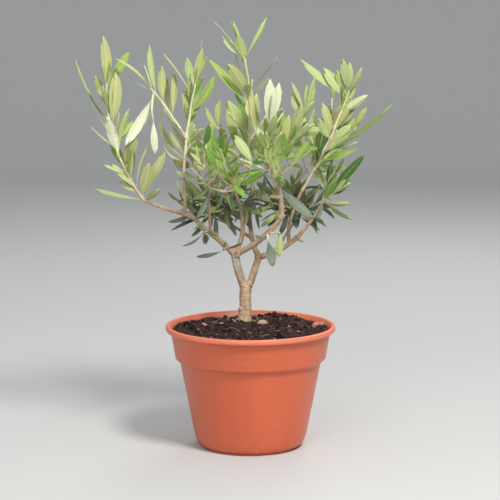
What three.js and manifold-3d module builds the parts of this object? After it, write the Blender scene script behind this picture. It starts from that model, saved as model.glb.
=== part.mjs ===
// A young olive tree in a two-litre plastic pot: a pot filled with compost, a short trunk that forks
// into two stems, main boughs as tapering limbs, and a crown of leafy shoots in separate masses.
// Millimetres, +X to the viewer's right, +Y away from the viewer, +Z up. The origin is the centre of
// the pot's flat underside.

import * as THREE from 'three';
import { mergeVertices } from 'three/addons/utils/BufferGeometryUtils.js';
import Module from 'manifold-3d';

const wasm = await Module();
wasm.setup();

// Driving dimensions
const RIM_DIAMETER = 170;
const POT_HEIGHT = 122;
const BASE_DIAMETER = 99;
const WALL = 1.8;
const CLEARANCE = 0.3;

// Sizes worked out from the driving dimensions
const RIM_RADIUS = RIM_DIAMETER / 2;
const BASE_RADIUS = BASE_DIAMETER / 2;
const FLOOR_TOP = 4;
const FLOOR_RADIUS = BASE_RADIUS + 2.6;
const POT_SIDES = 32;
const DRAIN_HOLES = { count: 6, radius: 4.5, ring: BASE_RADIUS * 0.77, sides: 8 };

// The edges of the pot's outside, from the foot up: how far out and how high each one is.
const EDGES = {
  foot: [BASE_RADIUS, 0],
  footTop: [BASE_RADIUS + 0.6, 2.2],
  corner: [BASE_RADIUS + 4, 3.6],
  wallFoot: [BASE_RADIUS + 6.9, 12],
  wallTop: [70.3, POT_HEIGHT - 37.5],
  collarFoot: [75.2, POT_HEIGHT - 32],
  collarTop: [79.9, POT_HEIGHT - 6],
  lipFoot: [RIM_RADIUS - 0.6, POT_HEIGHT - 5.6],
  lipBulge: [RIM_RADIUS, POT_HEIGHT - 3],
  lipTop: [RIM_RADIUS - 0.6, POT_HEIGHT - 0.4],
  mouth: [RIM_RADIUS - 4, POT_HEIGHT],
};

// Compost: its crown lies just under the rim, the surface dips to the wall and dips more at the back,
// a clod lies behind the trunk, and round the trunk it is level.
const COMPOST_SIDES = 26;
const SOIL_RINGS = [64, 50, 38, 26, 14, 0];
const SOIL = { belowRim: 0.9, dish: 2.4, backDip: 5, reach: 78, ripple: 1.2 };
const CLOD = { x: 22, y: 34, height: 6, wide: 26, deep: 24 };
const LEVEL_RADIUS = 16;
const BLEND_RADIUS = 34;
const FOOT = new THREE.Vector3(-6, 18, POT_HEIGHT + 1);

const FINISHES = {
  terracottaPlastic: new THREE.MeshStandardMaterial({ color: 0xc25a3c, roughness: 0.45, metalness: 0 }),
  compost: new THREE.MeshStandardMaterial({ color: 0x2b1d16, roughness: 1, metalness: 0 }),
  bark: new THREE.MeshStandardMaterial({ color: 0x9c7452, roughness: 0.8, metalness: 0 }),
  foliage: new THREE.MeshStandardMaterial({ color: 0x95a25a, roughness: 0.6, metalness: 0 }),
};

const tree = new THREE.Group();

// A closed three.js geometry as a solid that can be joined and cut.
function toSolid(geometry) {
  const bare = geometry.clone();
  bare.deleteAttribute('normal');
  bare.deleteAttribute('uv');
  const merged = mergeVertices(bare, 1e-4);
  return new wasm.Manifold(new wasm.Mesh({
    numProp: 3,
    vertProperties: new Float32Array(merged.attributes.position.array),
    triVerts: new Uint32Array(merged.index.array),
  }));
}

// The largest connected piece of a solid, so that no loose scrap is left.
function largestPiece(solid) {
  const pieces = solid.decompose();
  pieces.sort((one, other) => other.volume() - one.volume());
  return pieces[0];
}

function addPart(name, solid, material) {
  const mesh = solid.getMesh();
  const geometry = new THREE.BufferGeometry();
  geometry.setAttribute('position', new THREE.BufferAttribute(mesh.vertProperties, 3));
  geometry.setIndex(new THREE.BufferAttribute(mesh.triVerts, 1));
  const part = new THREE.Mesh(geometry, material);
  part.name = name;
  tree.add(part);
}

// Pot: a turned shell with a flat foot, a tapering wall, a stepped collar and a lip, drained by
// holes round its floor. The inside follows the outside one wall thickness in.
function potInside() {
  const inward = ([radius, height]) => [radius - WALL, height + 0.6];
  return [
    [EDGES.collarTop[0] - WALL, EDGES.collarTop[1]], inward(EDGES.collarFoot), inward(EDGES.wallTop),
    inward(EDGES.wallFoot), [FLOOR_RADIUS, FLOOR_TOP + 1], [0, FLOOR_TOP],
  ];
}

function potProfile() {
  const outline = [[0, 0], ...Object.values(EDGES), ...potInside()];
  return outline.map(([radius, height]) => new THREE.Vector2(radius, height));
}

function makePot() {
  const shell = new THREE.LatheGeometry(potProfile(), POT_SIDES).rotateX(Math.PI / 2);
  let pot = toSolid(shell);
  for (let i = 0; i < DRAIN_HOLES.count; i += 1) {
    const angle = (i + 0.5) / DRAIN_HOLES.count * 2 * Math.PI;
    const drill = new THREE.CylinderGeometry(DRAIN_HOLES.radius, DRAIN_HOLES.radius, 12, DRAIN_HOLES.sides);
    drill.rotateX(Math.PI / 2);
    drill.translate(DRAIN_HOLES.ring * Math.cos(angle), DRAIN_HOLES.ring * Math.sin(angle), FLOOR_TOP / 2);
    pot = pot.subtract(toSolid(drill));
  }
  return pot;
}

// Compost: fills the pot up to just under the rim.
function compostHeight(x, y) {
  const dish = SOIL.dish * (Math.hypot(x, y) / SOIL.reach) ** 2;
  const backDip = SOIL.backDip * (Math.max(y, 0) / SOIL.reach) ** 2;
  const clod = CLOD.height * Math.exp(-(((x - CLOD.x) / CLOD.wide) ** 2) - ((y - CLOD.y) / CLOD.deep) ** 2);
  const ripple = SOIL.ripple * Math.sin(x / 9 + 1) * Math.cos(y / 11);
  const free = POT_HEIGHT - SOIL.belowRim - dish - backDip + clod + ripple;
  const fromFoot = Math.hypot(x - FOOT.x, y - FOOT.y);
  const blend = THREE.MathUtils.smoothstep(fromFoot, LEVEL_RADIUS, BLEND_RADIUS);
  return (FOOT.z - CLEARANCE) * (1 - blend) + free * blend;
}

// The pot's facets stand a little inside its round, so the compost keeps half a millimetre more
// than the clearance from them.
function makeCompost() {
  const inside = potInside().reverse();
  const gap = CLEARANCE + 0.5;
  const wall = inside.map(([radius, height]) => [Math.max(radius - gap, 0), height + CLEARANCE + 0.1]);
  const top = wall.at(-1)[1];
  const profile = [...wall, ...SOIL_RINGS.map((radius) => [radius, top])];
  const points = profile.map(([radius, height]) => new THREE.Vector2(radius, height));
  const geometry = new THREE.LatheGeometry(points, COMPOST_SIDES).rotateX(Math.PI / 2);
  const position = geometry.attributes.position;
  for (let i = 0; i < position.count; i += 1) {
    if (position.getZ(i) > top - 0.01) {
      position.setZ(i, compostHeight(position.getX(i), position.getY(i)));
    }
  }
  return toSolid(geometry);
}

// A tube, twig or leaf as rings of equal count joined along their length, closed at both ends.
// A last ring of one point makes a pointed end.
function loft(rings) {
  const points = rings.flat();
  const sides = rings[0].length;
  const faces = [];
  let start = 0;
  for (let ring = 0; ring + 1 < rings.length; ring += 1) {
    const next = start + sides;
    const pointed = rings[ring + 1].length === 1;
    for (let i = 0; i < sides; i += 1) {
      const j = (i + 1) % sides;
      if (pointed) {
        faces.push(start + i, start + j, next);
      } else {
        faces.push(start + i, start + j, next + j, start + i, next + j, next + i);
      }
    }
    start = next;
  }
  for (let i = 1; i + 1 < sides; i += 1) {
    faces.push(0, i + 1, i);
    if (rings.at(-1).length > 1) {
      faces.push(start, start + i, start + i + 1);
    }
  }
  const geometry = new THREE.BufferGeometry();
  const numbers = points.flatMap((point) => point.toArray());
  geometry.setAttribute('position', new THREE.Float32BufferAttribute(numbers, 3));
  geometry.setIndex(faces);
  return toSolid(geometry);
}

// A limb's or shoot's path: straight from start to tip, bowed most at its middle.
function bowedPath(start, tip, bow) {
  return (t) => start.clone().lerp(tip, t).addScaledVector(bow, 4 * t * (1 - t));
}

function heading(path, t) {
  const before = Math.max(t - 0.02, 0);
  const after = Math.min(t + 0.02, 1);
  return path(after).sub(path(before)).normalize();
}

// Two directions square to a heading, the first as level as it can be.
function sidesOf(along) {
  const reference = Math.abs(along.y) > 0.85 ? new THREE.Vector3(1, 0, 0) : new THREE.Vector3(0, 1, 0);
  const across = along.clone().cross(reference).normalize();
  return [across, along.clone().cross(across)];
}

function ringAround(centre, along, radius, sides) {
  const [across, other] = sidesOf(along);
  return Array.from({ length: sides }, (_, i) => {
    const angle = i / sides * 2 * Math.PI;
    return centre.clone()
      .addScaledVector(across, radius * Math.cos(angle))
      .addScaledVector(other, radius * Math.sin(angle));
  });
}

// A tapering tube along a path, from one share of it to another, fattened by grow all round.
function tube({ path, radius, sides, steps, from = 0, to = 1, grow = 0, dome = 0, level = false }) {
  const rings = [];
  for (let i = 0; i <= steps; i += 1) {
    const t = from + (to - from) * i / steps;
    const along = level ? new THREE.Vector3(0, 0, 1) : heading(path, t);
    const centre = path(t);
    if (grow > 0 && i === 0) {
      centre.addScaledVector(along, -grow);
    }
    if (grow > 0 && i === steps) {
      centre.addScaledVector(along, grow);
    }
    rings.push(ringAround(centre, along, radius(t) + grow, sides));
  }
  if (dome > 0) {
    const along = level ? new THREE.Vector3(0, 0, 1) : heading(path, to);
    const centre = path(to).addScaledVector(along, dome + grow);
    rings.push(ringAround(centre, along, (radius(to) + grow) * END_DOME.width, sides));
  }
  return loft(rings);
}

// Limbs, in the order they branch: the limb each grows from and where along it, its tip, how far it
// bows at its middle, and its radius where it starts and where it ends.
const STOUT = { over: 3.2, sides: 8 };
const SLIM = { sides: 6 };
const FLARE = { width: 1.3, fade: 9 };
const BOWED_STEPS = 5;
const STRAIGHT_STEPS = 2;
const END_DOME = { height: 0.4, width: 0.55 };
const LIMBS = {
  trunk: { tip: [-4.5, 18, 159], bow: [0, 0, 0], radii: [6.2, 5.6] },
  left_stem: { from: 'trunk', share: 0.8, tip: [-16, 17, 192], bow: [-2, 0, 0], radii: [4.3, 4.3] },
  right_stem: { from: 'trunk', share: 0.8, tip: [8.5, 27, 187], bow: [2, 0, 0], radii: [3.4, 3.5] },
  left_bough: { from: 'left_stem', share: 0.97, tip: [-60, 8, 231], bow: [1, 0, -1], radii: [3.5, 2.5] },
  left_arm: { from: 'left_bough', share: 1, tip: [-105, 2, 246], bow: [0, 0, -1], radii: [2.4, 1.7] },
  left_riser: { from: 'left_arm', share: 0.13, tip: [-66, 4, 273], bow: [1, 0, 0], radii: [1.9, 1.6] },
  left_twig: { from: 'left_bough', share: 0.55, tip: [-41, 0, 258], bow: [-1, 0, 0], radii: [1.7, 1.5] },
  right_bough: { from: 'left_stem', share: 0.97, tip: [31, -2, 231], bow: [2, -3, -4], radii: [3.7, 3.2] },
  right_spur: { from: 'right_bough', share: 1, tip: [28, -6, 260], bow: [1, 0, 0], radii: [3, 2.6] },
  middle_stem: { from: 'left_stem', share: 0.97, tip: [-17, 32, 252], bow: [9, 2, 0], radii: [2.8, 2.2] },
  middle_left: { from: 'middle_stem', share: 1, tip: [-31, 28, 267], bow: [0, 0, 0], radii: [2.1, 1.9] },
  middle_right: { from: 'middle_stem', share: 1, tip: [-8, 30, 268], bow: [0, 0, 0], radii: [1.8, 1.6] },
  right_branch: { from: 'right_stem', share: 0.98, tip: [47, 20, 207], bow: [1, 0, -3], radii: [3, 2.3] },
  right_arm: { from: 'right_branch', share: 1, tip: [72, 14, 243], bow: [0, 0, -2], radii: [2.2, 1.6] },
  right_riser: {
    from: 'right_branch', share: 0.78, tip: [51, 10, 255], bow: [-5, 0, -2], radii: [2.1, 1.6],
  },
  back_stem: { from: 'right_stem', share: 0.98, tip: [3, 58, 243], bow: [-6, 0, 0], radii: [2.9, 2.1] },
  back_left: { from: 'back_stem', share: 0.55, tip: [-45, 66, 250], bow: [0, 4, -4], radii: [2, 1.5] },
  back_right: { from: 'back_stem', share: 0.75, tip: [45, 62, 256], bow: [0, 4, -3], radii: [1.9, 1.5] },
  low_left: { from: 'back_stem', share: 0.3, tip: [-36, 54, 222], bow: [0, 2, 2], radii: [1.8, 1.4] },
  low_right: { from: 'right_branch', share: 0.35, tip: [48, 54, 224], bow: [0, 4, -2], radii: [1.8, 1.4] },
};

const vector = (list) => new THREE.Vector3(...list);
const isBowed = (bow) => vector(bow).length() > 1;

function limbPath(name) {
  const limb = LIMBS[name];
  const start = limb.from ? limbPath(limb.from)(limb.share) : FOOT.clone();
  return bowedPath(start, vector(limb.tip), vector(limb.bow));
}

// A limb tapers evenly; only the trunk flares, over its lowest few millimetres.
function limbTube(name, grow) {
  const { radii } = LIMBS[name];
  const flare = (t) => (name === 'trunk' ? FLARE.width * Math.exp(-t * FLARE.fade) : 0);
  return tube({
    path: limbPath(name),
    radius: (t) => radii[0] + (radii[1] - radii[0]) * t + flare(t),
    sides: radii[0] > STOUT.over ? STOUT.sides : SLIM.sides,
    steps: name === 'trunk' || isBowed(LIMBS[name].bow) ? BOWED_STEPS : STRAIGHT_STEPS,
    grow,
    dome: radii[1] * END_DOME.height,
    level: name === 'trunk',
  });
}

// Each limb is cut clear of every limb made before it, so that it starts just off its parent's bark.
function makeLimbs() {
  const limbs = new Map();
  for (const name of Object.keys(LIMBS)) {
    let limb = limbTube(name, 0);
    for (const earlier of limbs.keys()) {
      limb = limb.subtract(limbTube(earlier, CLEARANCE));
    }
    limbs.set(name, largestPiece(limb));
  }
  return limbs;
}

// A repeatable number from 0 to 1 for the nth choice made with a seed.
function chance(seed, n) {
  const wave = Math.sin(seed * 12.9898 + n * 78.233) * 43758.5453;
  return wave - Math.floor(wave);
}

const radians = THREE.MathUtils.degToRad;
const LEAF = { stalk: 0.25, widest: 0.58, rise: 0.3, keel: 0.9, keelShare: 1 / 45 };
const LEAST_SPLAY = 14;
const PAIR_OFFSET = 1.6;

// One olive leaf: a slim stalk that widens to a keeled blade and narrows to a point. face is the
// way its upper side looks, and grow fattens it all round.
function leafSolid({ base, tip, face, width }, grow = 0) {
  const way = tip.clone().sub(base).normalize();
  const side = way.clone().cross(face).normalize();
  const stalk = LEAF.stalk + grow;
  const half = width / 2 + grow;
  const rise = LEAF.rise + grow;
  const keel = Math.max(LEAF.keel, base.distanceTo(tip) * LEAF.keelShare) + grow - LEAF.rise;
  const widest = base.clone().lerp(tip, LEAF.widest);
  const at = (centre, across, up) => centre.clone().addScaledVector(side, across).addScaledVector(face, up);
  return loft([
    [at(base, stalk, stalk), at(base, 0, -stalk), at(base, -stalk, stalk)],
    [at(widest, half, rise), at(widest, 0, -keel), at(widest, -half, rise)],
    [tip.clone().addScaledVector(way, grow)],
  ]);
}

// The pair of leaves at the kth node of a shoot. The two stand opposite, one a little lower than
// the other, and each pair is turned a quarter round from the one below. Low pairs are long and
// spread wide, and the young ones at the top are short and hug the shoot.
function leafPair(shoot, k, seed) {
  const { path, pairs, leaf, spread, turn, bare } = shoot;
  const share = Math.min(1, bare + (1 - bare) * (k + 0.5 * chance(seed, k)) / Math.max(pairs - 0.6, 1));
  const along = heading(path, share);
  const [across] = sidesOf(along);
  const late = k / Math.max(pairs - 1, 1);
  return [0, 1].map((side) => {
    const n = 20 + 2 * k + side;
    const azimuth = turn + 90 * k + 180 * side + 50 * (chance(seed, n) - 0.5);
    const splay = spread * (1.15 - 0.75 * late) + 24 * (chance(seed, n + 40) - 0.5);
    const angle = radians(Math.max(splay, LEAST_SPLAY));
    const outward = across.clone().applyAxisAngle(along, radians(azimuth));
    const way = along.clone().multiplyScalar(Math.cos(angle)).addScaledVector(outward, Math.sin(angle));
    way.z += 0.12;
    way.normalize();
    const length = leaf * (1.08 - 0.35 * late ** 2) * (0.75 + 0.5 * chance(seed, n + 80));
    const base = path(share).addScaledVector(along, -side * PAIR_OFFSET);
    const tip = base.clone().addScaledVector(way, length);
    const width = length * (0.2 + 0.06 * chance(seed, n + 160));
    return { base, tip, width, face: facing(along, way, 70 * (chance(seed, n + 120) - 0.5)) };
  });
}

// The way a leaf's upper side looks: towards its shoot, rolled about the leaf's own length.
function facing(along, way, roll) {
  const face = along.clone().addScaledVector(way, -along.dot(way)).normalize();
  return face.applyAxisAngle(way, radians(roll));
}

// One of the leaves that give the crown its outline. Seen from the front it is edge-on at a roll of
// 0 and flat on at 90, with its underside to the front, or its upper side where the roll is negative.
const FRONT = new THREE.Vector3(0, -1, 0);

function tipLeaf({ path }, [share, end, roll, wide]) {
  const base = path(share);
  const tip = vector(end);
  const way = tip.clone().sub(base).normalize();
  const face = FRONT.clone().addScaledVector(way, -FRONT.dot(way)).normalize();
  face.multiplyScalar(roll < 0 ? 1 : -1).applyAxisAngle(way, radians(90 - Math.abs(roll)));
  return { base, tip, width: base.distanceTo(tip) * wide, face };
}

// An olive, as a small egg on a short stalk.
const TWIG_SIDES = 3;
const OLIVE_STALK_RADIUS = 0.6;

function oliveSolid({ stalk, centre, radius }) {
  const ball = new THREE.SphereGeometry(radius, 8, 6).rotateX(Math.PI / 2).scale(1, 1, 1.15);
  const path = bowedPath(vector(stalk), vector(centre), new THREE.Vector3());
  const stem = tube({ path, radius: () => OLIVE_STALK_RADIUS, sides: TWIG_SIDES, steps: 1 });
  return toSolid(ball.translate(...centre)).add(stem);
}

// Masses of foliage, each on the tip of one limb, and three small sprigs on the sides of boughs.
// The first shoot of each grows on from the limb, and the others branch from an earlier shoot, at
// a share of its length. tips are the leaves that give the crown its outline: the shoot, the share
// along it, where the leaf ends, its roll and its width to its length.
const PLAIN_SHOOT = {
  on: 0, at: 0, bow: [0, 0, 0], pairs: 5, leaf: 34, spread: 40, turn: 0, bare: 0.1, girth: 1.2,
};
const shoot = (tip, options = {}) => ({ ...PLAIN_SHOOT, tip, ...options });
const MASSES = {
  left_outer_foliage: {
    on: 'left_arm',
    shoots: [
      shoot([-141, -4, 362], { bow: [-9, 0, -5], pairs: 7, leaf: 36, turn: 20, spread: 28, bare: 0.14 }),
    ],
    tips: [
      [0, 0.01, [-155, -12, 260], 40, 0.14], [0, 0.03, [-100, -10, 285], 70, 0.34],
      [0, 0.04, [-83, 4, 296], 60, 0.18], [0, 0.12, [-138, -16, 284], 50, 0.18],
      [0, 0.66, [-171, -8, 387], 0, 0.12], [0, 0.94, [-144, -2, 409], 80, 0.23],
      [0, 0.97, [-119, 4, 393], 70, 0.22], [0, 0.58, [-158, -8, 344], 10, 0.12],
    ],
  },
  left_crown_foliage: {
    on: 'left_riser',
    shoots: [
      shoot([-54, 4, 362], { bow: [-2, 0, 0], pairs: 7, turn: 60, spread: 28 }),
      shoot([-98, -4, 358], {
        at: 0.38, bow: [2, 0, 0], pairs: 2, leaf: 36, turn: 80, spread: 35, bare: 0.5,
      }),
      shoot([-95, -8, 327], { on: 1, at: 0.92, bow: [-2, 0, 0], pairs: 0 }),
    ],
    tips: [
      [1, 0.97, [-134, -10, 388], 30, 0.12], [1, 0.95, [-97, 0, 402], 60, 0.15],
      [1, 0.7, [-87, 0, 380], 80, 0.22], [1, 0.45, [-75, 8, 374], 60, 0.18],
      [2, 0.15, [-124, -14, 301], 60, 0.18], [2, 0.6, [-113, 0, 310], 60, 0.2],
      [2, 0.95, [-93, -10, 292], 80, 0.19], [0, 0.97, [-46, 4, 406], 70, 0.26],
      [0, 0.84, [-87, 0, 393], 10, 0.1], [0, 0.95, [-62, 2, 388], 80, 0.28],
      [0, 0.86, [-35, 4, 370], 30, 0.28],
    ],
  },
  centre_top_foliage: {
    on: 'middle_right',
    shoots: [
      shoot([-9, 10, 400], { bow: [8, 0, 0], pairs: 7, leaf: 36, spread: 28 }),
      shoot([-22, -4, 334], { at: 0.3, pairs: 4, leaf: 36, turn: 50, spread: 30 }),
      shoot([22, 30, 338], { at: 0.25, pairs: 4, turn: 20, spread: 32 }),
    ],
    tips: [
      [0, 0.99, [-17, 12, 423], 60, 0.2], [0, 0.96, [16, 12, 427], 20, 0.09],
      [0, 0.9, [-28, 6, 409], 70, 0.22], [0, 0.86, [-38, 4, 424], 10, 0.07],
      [0, 0.86, [-9, 6, 397], 80, 0.3], [0, 0.74, [-41, 0, 386], 30, 0.17],
      [0, 0.74, [-23, -2, 382], 80, 0.2], [0, 0.66, [27, 6, 389], 10, 0.08],
      [0, 0.6, [-4, -10, 362], 70, 0.22],
    ],
  },
  centre_right_foliage: {
    on: 'right_spur',
    shoots: [
      shoot([20, -16, 326], { bow: [-8, 0, 0], pairs: 5, leaf: 36, spread: 30 }),
      shoot([16, -70, 306], { at: 0.2, pairs: 3, turn: 40, spread: 42 }),
      shoot([-14, -30, 292], { at: 0.25, pairs: 4, leaf: 30, spread: 42 }),
      shoot([54, -4, 338], { at: 0.15, bow: [-4, 0, -3], pairs: 5, turn: 70, spread: 30, bare: 0.2 }),
      shoot([56, -74, 302], { at: 0.12, pairs: 3, turn: 10, spread: 42 }),
    ],
    tips: [
      [0, 0.9, [21, -20, 368], 75, 0.2], [0, 0.92, [28, -10, 363], 70, 0.22],
      [0, 0.5, [1, -14, 358], 40, 0.16], [0, 0.1, [-15, -18, 286], 20, 0.14],
      [3, 0.9, [42, -4, 354], 60, 0.34], [3, 0.97, [40, -6, 364], 50, 0.18],
      [3, 0.98, [55, -6, 362], 70, 0.2], [3, 0.99, [63, -8, 370], 70, 0.18],
      [3, 0.7, [70, -10, 318], 80, 0.34],
    ],
    olive: { stalk: [27.8, -6.8, 265], centre: [30.5, -13, 268], radius: 4.2 },
  },
  right_upper_foliage: {
    on: 'right_riser',
    shoots: [
      shoot([97, -2, 356], { bow: [2, 0, -3], pairs: 8, leaf: 36, turn: 45, spread: 28, bare: 0.2 }),
      shoot([84, -22, 318], { at: 0.3, pairs: 4, leaf: 36, spread: 32 }),
      shoot([108, 22, 318], { at: 0.4, pairs: 4, turn: 30, spread: 32 }),
    ],
    tips: [
      [0, 0.95, [48, -8, 387], 50, 0.18], [0, 0.98, [90, -4, 387], 80, 0.24],
      [0, 0.99, [97, -2, 384], 80, 0.24], [0, 0.7, [141, -6, 344], 20, 0.12],
      [0, 0.78, [116, 2, 351], 70, 0.26], [0, 0.92, [71, -2, 378], 60, 0.27],
      [0, 0.94, [84, -6, 376], 80, 0.24], [0, 0.5, [112, -10, 294], 50, 0.2],
      [0, 0.4, [100, -8, 322], 80, 0.3],
    ],
  },
  right_outer_foliage: {
    on: 'right_arm',
    shoots: [
      shoot([86, 6, 280], { bow: [-2, 0, 0], pairs: 4, leaf: 32, turn: 30 }),
      shoot([100, 22, 262], { at: 0.1, pairs: 3, leaf: 28, turn: 60, spread: 30 }),
    ],
    tips: [
      [0, 0.02, [99, 4, 244], 60, 0.2], [0, 0.02, [66, -12, 228], 60, 0.24],
      [0, 0.1, [102, -2, 228], 40, 0.2],
    ],
  },
  left_inner_foliage: {
    on: 'left_twig',
    shoots: [
      shoot([-38, -30, 284], { pairs: 3, leaf: 26, turn: 30, spread: 44, bare: 0.4 }),
      shoot([-60, -8, 282], { at: 0.15, pairs: 2, leaf: 28, spread: 28, bare: 0.5 }),
      shoot([-44, -14, 306], { at: 0.3, pairs: 4, turn: 70, bare: 0.3 }),
      shoot([-48, -66, 312], { at: 0.4, pairs: 4, turn: 10, bare: 0.3 }),
      shoot([-8, -70, 276], { at: 0.1, bow: [4, 0, -8], pairs: 3, leaf: 32, bare: 0.5 }),
      shoot([-28, -98, 306], { on: 4, at: 0.6, pairs: 4, leaf: 32, turn: 40 }),
    ],
    tips: [
      [0, 0.6, [-60, -30, 296], 20, 0.34], [0, 0.7, [-24, -34, 292], 20, 0.36],
    ],
  },
  centre_left_foliage: {
    on: 'middle_left',
    shoots: [
      shoot([-32, 18, 318], { bow: [6, 0, 0], pairs: 6, turn: 10, spread: 38 }),
      shoot([-52, 32, 306], { at: 0.2, pairs: 4, turn: 40, spread: 42 }),
      shoot([-38, 52, 300], { at: 0.1, pairs: 4, leaf: 32, turn: 70, spread: 46 }),
    ],
    tips: [
      [0, 0.97, [-31, 18, 345], 70, 0.25], [0, 0.9, [-45, 14, 338], 40, 0.2],
    ],
  },
  back_top_foliage: {
    on: 'back_stem',
    shoots: [
      shoot([2, 84, 362], { bow: [-4, 8, 0], pairs: 6, leaf: 38, turn: 30, spread: 44 }),
      shoot([-24, 112, 322], { at: 0.2, pairs: 4, leaf: 36, spread: 44 }),
      shoot([34, 112, 326], { at: 0.25, pairs: 4, leaf: 36, turn: 50, spread: 44 }),
      shoot([-16, 92, 226], { at: 0.02, pairs: 4, turn: 20, spread: 52 }),
      shoot([26, 96, 240], { on: 3, at: 0.3, pairs: 4, turn: 60, spread: 52 }),
    ],
    tips: [],
  },
  back_left_foliage: {
    on: 'back_left',
    shoots: [
      shoot([-64, 84, 348], { bow: [-8, 0, -4], pairs: 6, leaf: 38, turn: 20, spread: 44 }),
      shoot([-88, 66, 300], { at: 0.2, pairs: 4, leaf: 36, turn: 60, spread: 44 }),
      shoot([-54, 114, 308], { at: 0.3, leaf: 36, turn: 10, spread: 44 }),
    ],
    tips: [],
  },
  back_right_foliage: {
    on: 'back_right',
    shoots: [
      shoot([84, 80, 344], { bow: [8, 0, -4], pairs: 6, leaf: 38, turn: 10, spread: 44 }),
      shoot([108, 54, 300], { at: 0.25, pairs: 4, leaf: 36, turn: 40, spread: 44 }),
      shoot([58, 112, 308], { at: 0.3, leaf: 36, turn: 70, spread: 44 }),
    ],
    tips: [],
  },
  low_left_foliage: {
    on: 'low_left',
    shoots: [
      shoot([-70, 58, 238], { pairs: 4, leaf: 32, turn: 20, spread: 52 }),
      shoot([-46, 84, 246], { at: 0.1, pairs: 4, leaf: 32, turn: 60, spread: 52 }),
      shoot([-22, 66, 250], { at: 0.1, pairs: 3, leaf: 32, spread: 50 }),
      shoot([-4, 40, 240], { at: 0.3, pairs: 3, leaf: 30, turn: 40, spread: 56 }),
    ],
    tips: [],
  },
  low_right_foliage: {
    on: 'low_right',
    shoots: [
      shoot([72, 66, 240], { pairs: 4, leaf: 32, turn: 20, spread: 52 }),
      shoot([44, 86, 246], { at: 0.1, pairs: 4, leaf: 32, turn: 60, spread: 52 }),
      shoot([26, 58, 246], { at: 0.1, pairs: 3, leaf: 32, spread: 50 }),
      shoot([24, 34, 240], { at: 0.3, pairs: 3, leaf: 30, turn: 50, spread: 56 }),
    ],
    tips: [],
  },
  left_sprig: {
    on: 'left_bough',
    share: 0.6,
    shoots: [shoot([-47, -1, 215], { pairs: 0 })],
    tips: [
      [0, 0.9, [-68, -6, 202], 30, 0.2], [0, 0.95, [-43, -25, 206], 20, 0.28],
      [0, 0.7, [-52, -14, 226], 40, 0.24],
    ],
  },
  fork_sprig: {
    on: 'left_bough',
    share: 0.2,
    shoots: [shoot([-29, 6, 195], { pairs: 0 })],
    tips: [
      [0, 0.95, [-54, 4, 190], 60, 0.17], [0, 0.9, [-26, -14, 208], 20, 0.22],
    ],
  },
  right_sprig: {
    on: 'right_bough',
    share: 0.66,
    shoots: [shoot([17, -10, 208], { pairs: 0 })],
    tips: [
      [0, 0.97, [22, -16, 180], 80, 0.36], [0, 0.8, [28, -12, 190], 70, 0.36],
    ],
  },
};

const TWIG_TIP = 0.95;
const BLADE_START = 0.2;
const PAST_TIP = 0.08;
const PAST_SIDE = 0.5;

function shootPath(mass, index) {
  const { tip, on, at, bow } = mass.shoots[index];
  const start = index === 0 ? limbPath(mass.on)(mass.share ?? 1) : shootPath(mass, on)(at);
  return bowedPath(start, vector(tip), vector(bow));
}

function twigTube({ path, girth, bow }, grow, from) {
  const radius = (t) => girth + (TWIG_TIP - girth) * t;
  return tube({ path, radius, sides: TWIG_SIDES, steps: isBowed(bow) ? 4 : 1, grow, from });
}

function boxesMeet(one, other) {
  const a = one.boundingBox();
  const b = other.boundingBox();
  return [0, 1, 2].every((axis) => a.min[axis] < b.max[axis] && b.min[axis] < a.max[axis]);
}

function touches(probe, solids) {
  return solids.some((solid) => boxesMeet(probe, solid) && !probe.intersect(solid).isEmpty());
}

// One mass: its shoots and leaves fused into a single solid. What would touch a limb or an earlier
// mass is left out, and so is a leaf whose blade would cut through another of its own mass. The
// first shoot is cut just clear of the limb it grows on from, and is only tested past the limb.
function makeMass(mass, seed, others) {
  const grown = [];
  mass.shoots.forEach((sizes, index) => {
    const path = shootPath(mass, index);
    const parentMissing = index > 0 && !grown[sizes.on];
    const past = mass.share ? PAST_SIDE : PAST_TIP;
    const probe = twigTube({ ...sizes, path }, CLEARANCE, index === 0 ? past : 0);
    if (!parentMissing && !touches(probe, others)) {
      grown[index] = { ...sizes, path };
    }
  });
  const leaves = mass.tips
    .filter(([index]) => grown[index])
    .map(([index, ...sizes]) => tipLeaf(grown[index], sizes));
  grown.forEach((sizes, index) => {
    for (let k = 0; k < sizes.pairs; k += 1) {
      leaves.push(...leafPair(sizes, k, 10 * seed + index + 1));
    }
  });
  let solid = grown
    .filter(Boolean)
    .map((sizes) => twigTube(sizes, 0, 0))
    .reduce((all, twig) => all.add(twig));
  const blades = [];
  for (const leaf of leaves) {
    const blade = leafSolid({ ...leaf, base: leaf.base.clone().lerp(leaf.tip, BLADE_START) });
    if (!touches(blade, blades) && !touches(leafSolid(leaf, CLEARANCE), others)) {
      solid = solid.add(leafSolid(leaf));
      blades.push(blade);
    }
  }
  if (mass.olive) {
    solid = solid.add(oliveSolid(mass.olive));
  }
  return largestPiece(solid.subtract(limbTube(mass.on, CLEARANCE)));
}

addPart('pot', makePot(), FINISHES.terracottaPlastic);
addPart('compost', makeCompost(), FINISHES.compost);

const limbs = makeLimbs();
for (const [name, solid] of limbs) {
  addPart(name, solid, FINISHES.bark);
}

const standing = [...limbs.values()];
Object.entries(MASSES).forEach(([name, mass], seed) => {
  const solid = makeMass(mass, seed, standing);
  standing.push(solid);
  addPart(name, solid, FINISHES.foliage);
});

export default tree;
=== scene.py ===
"""A young olive tree in a two-litre plastic pot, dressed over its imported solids, in metres."""

import math

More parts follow.
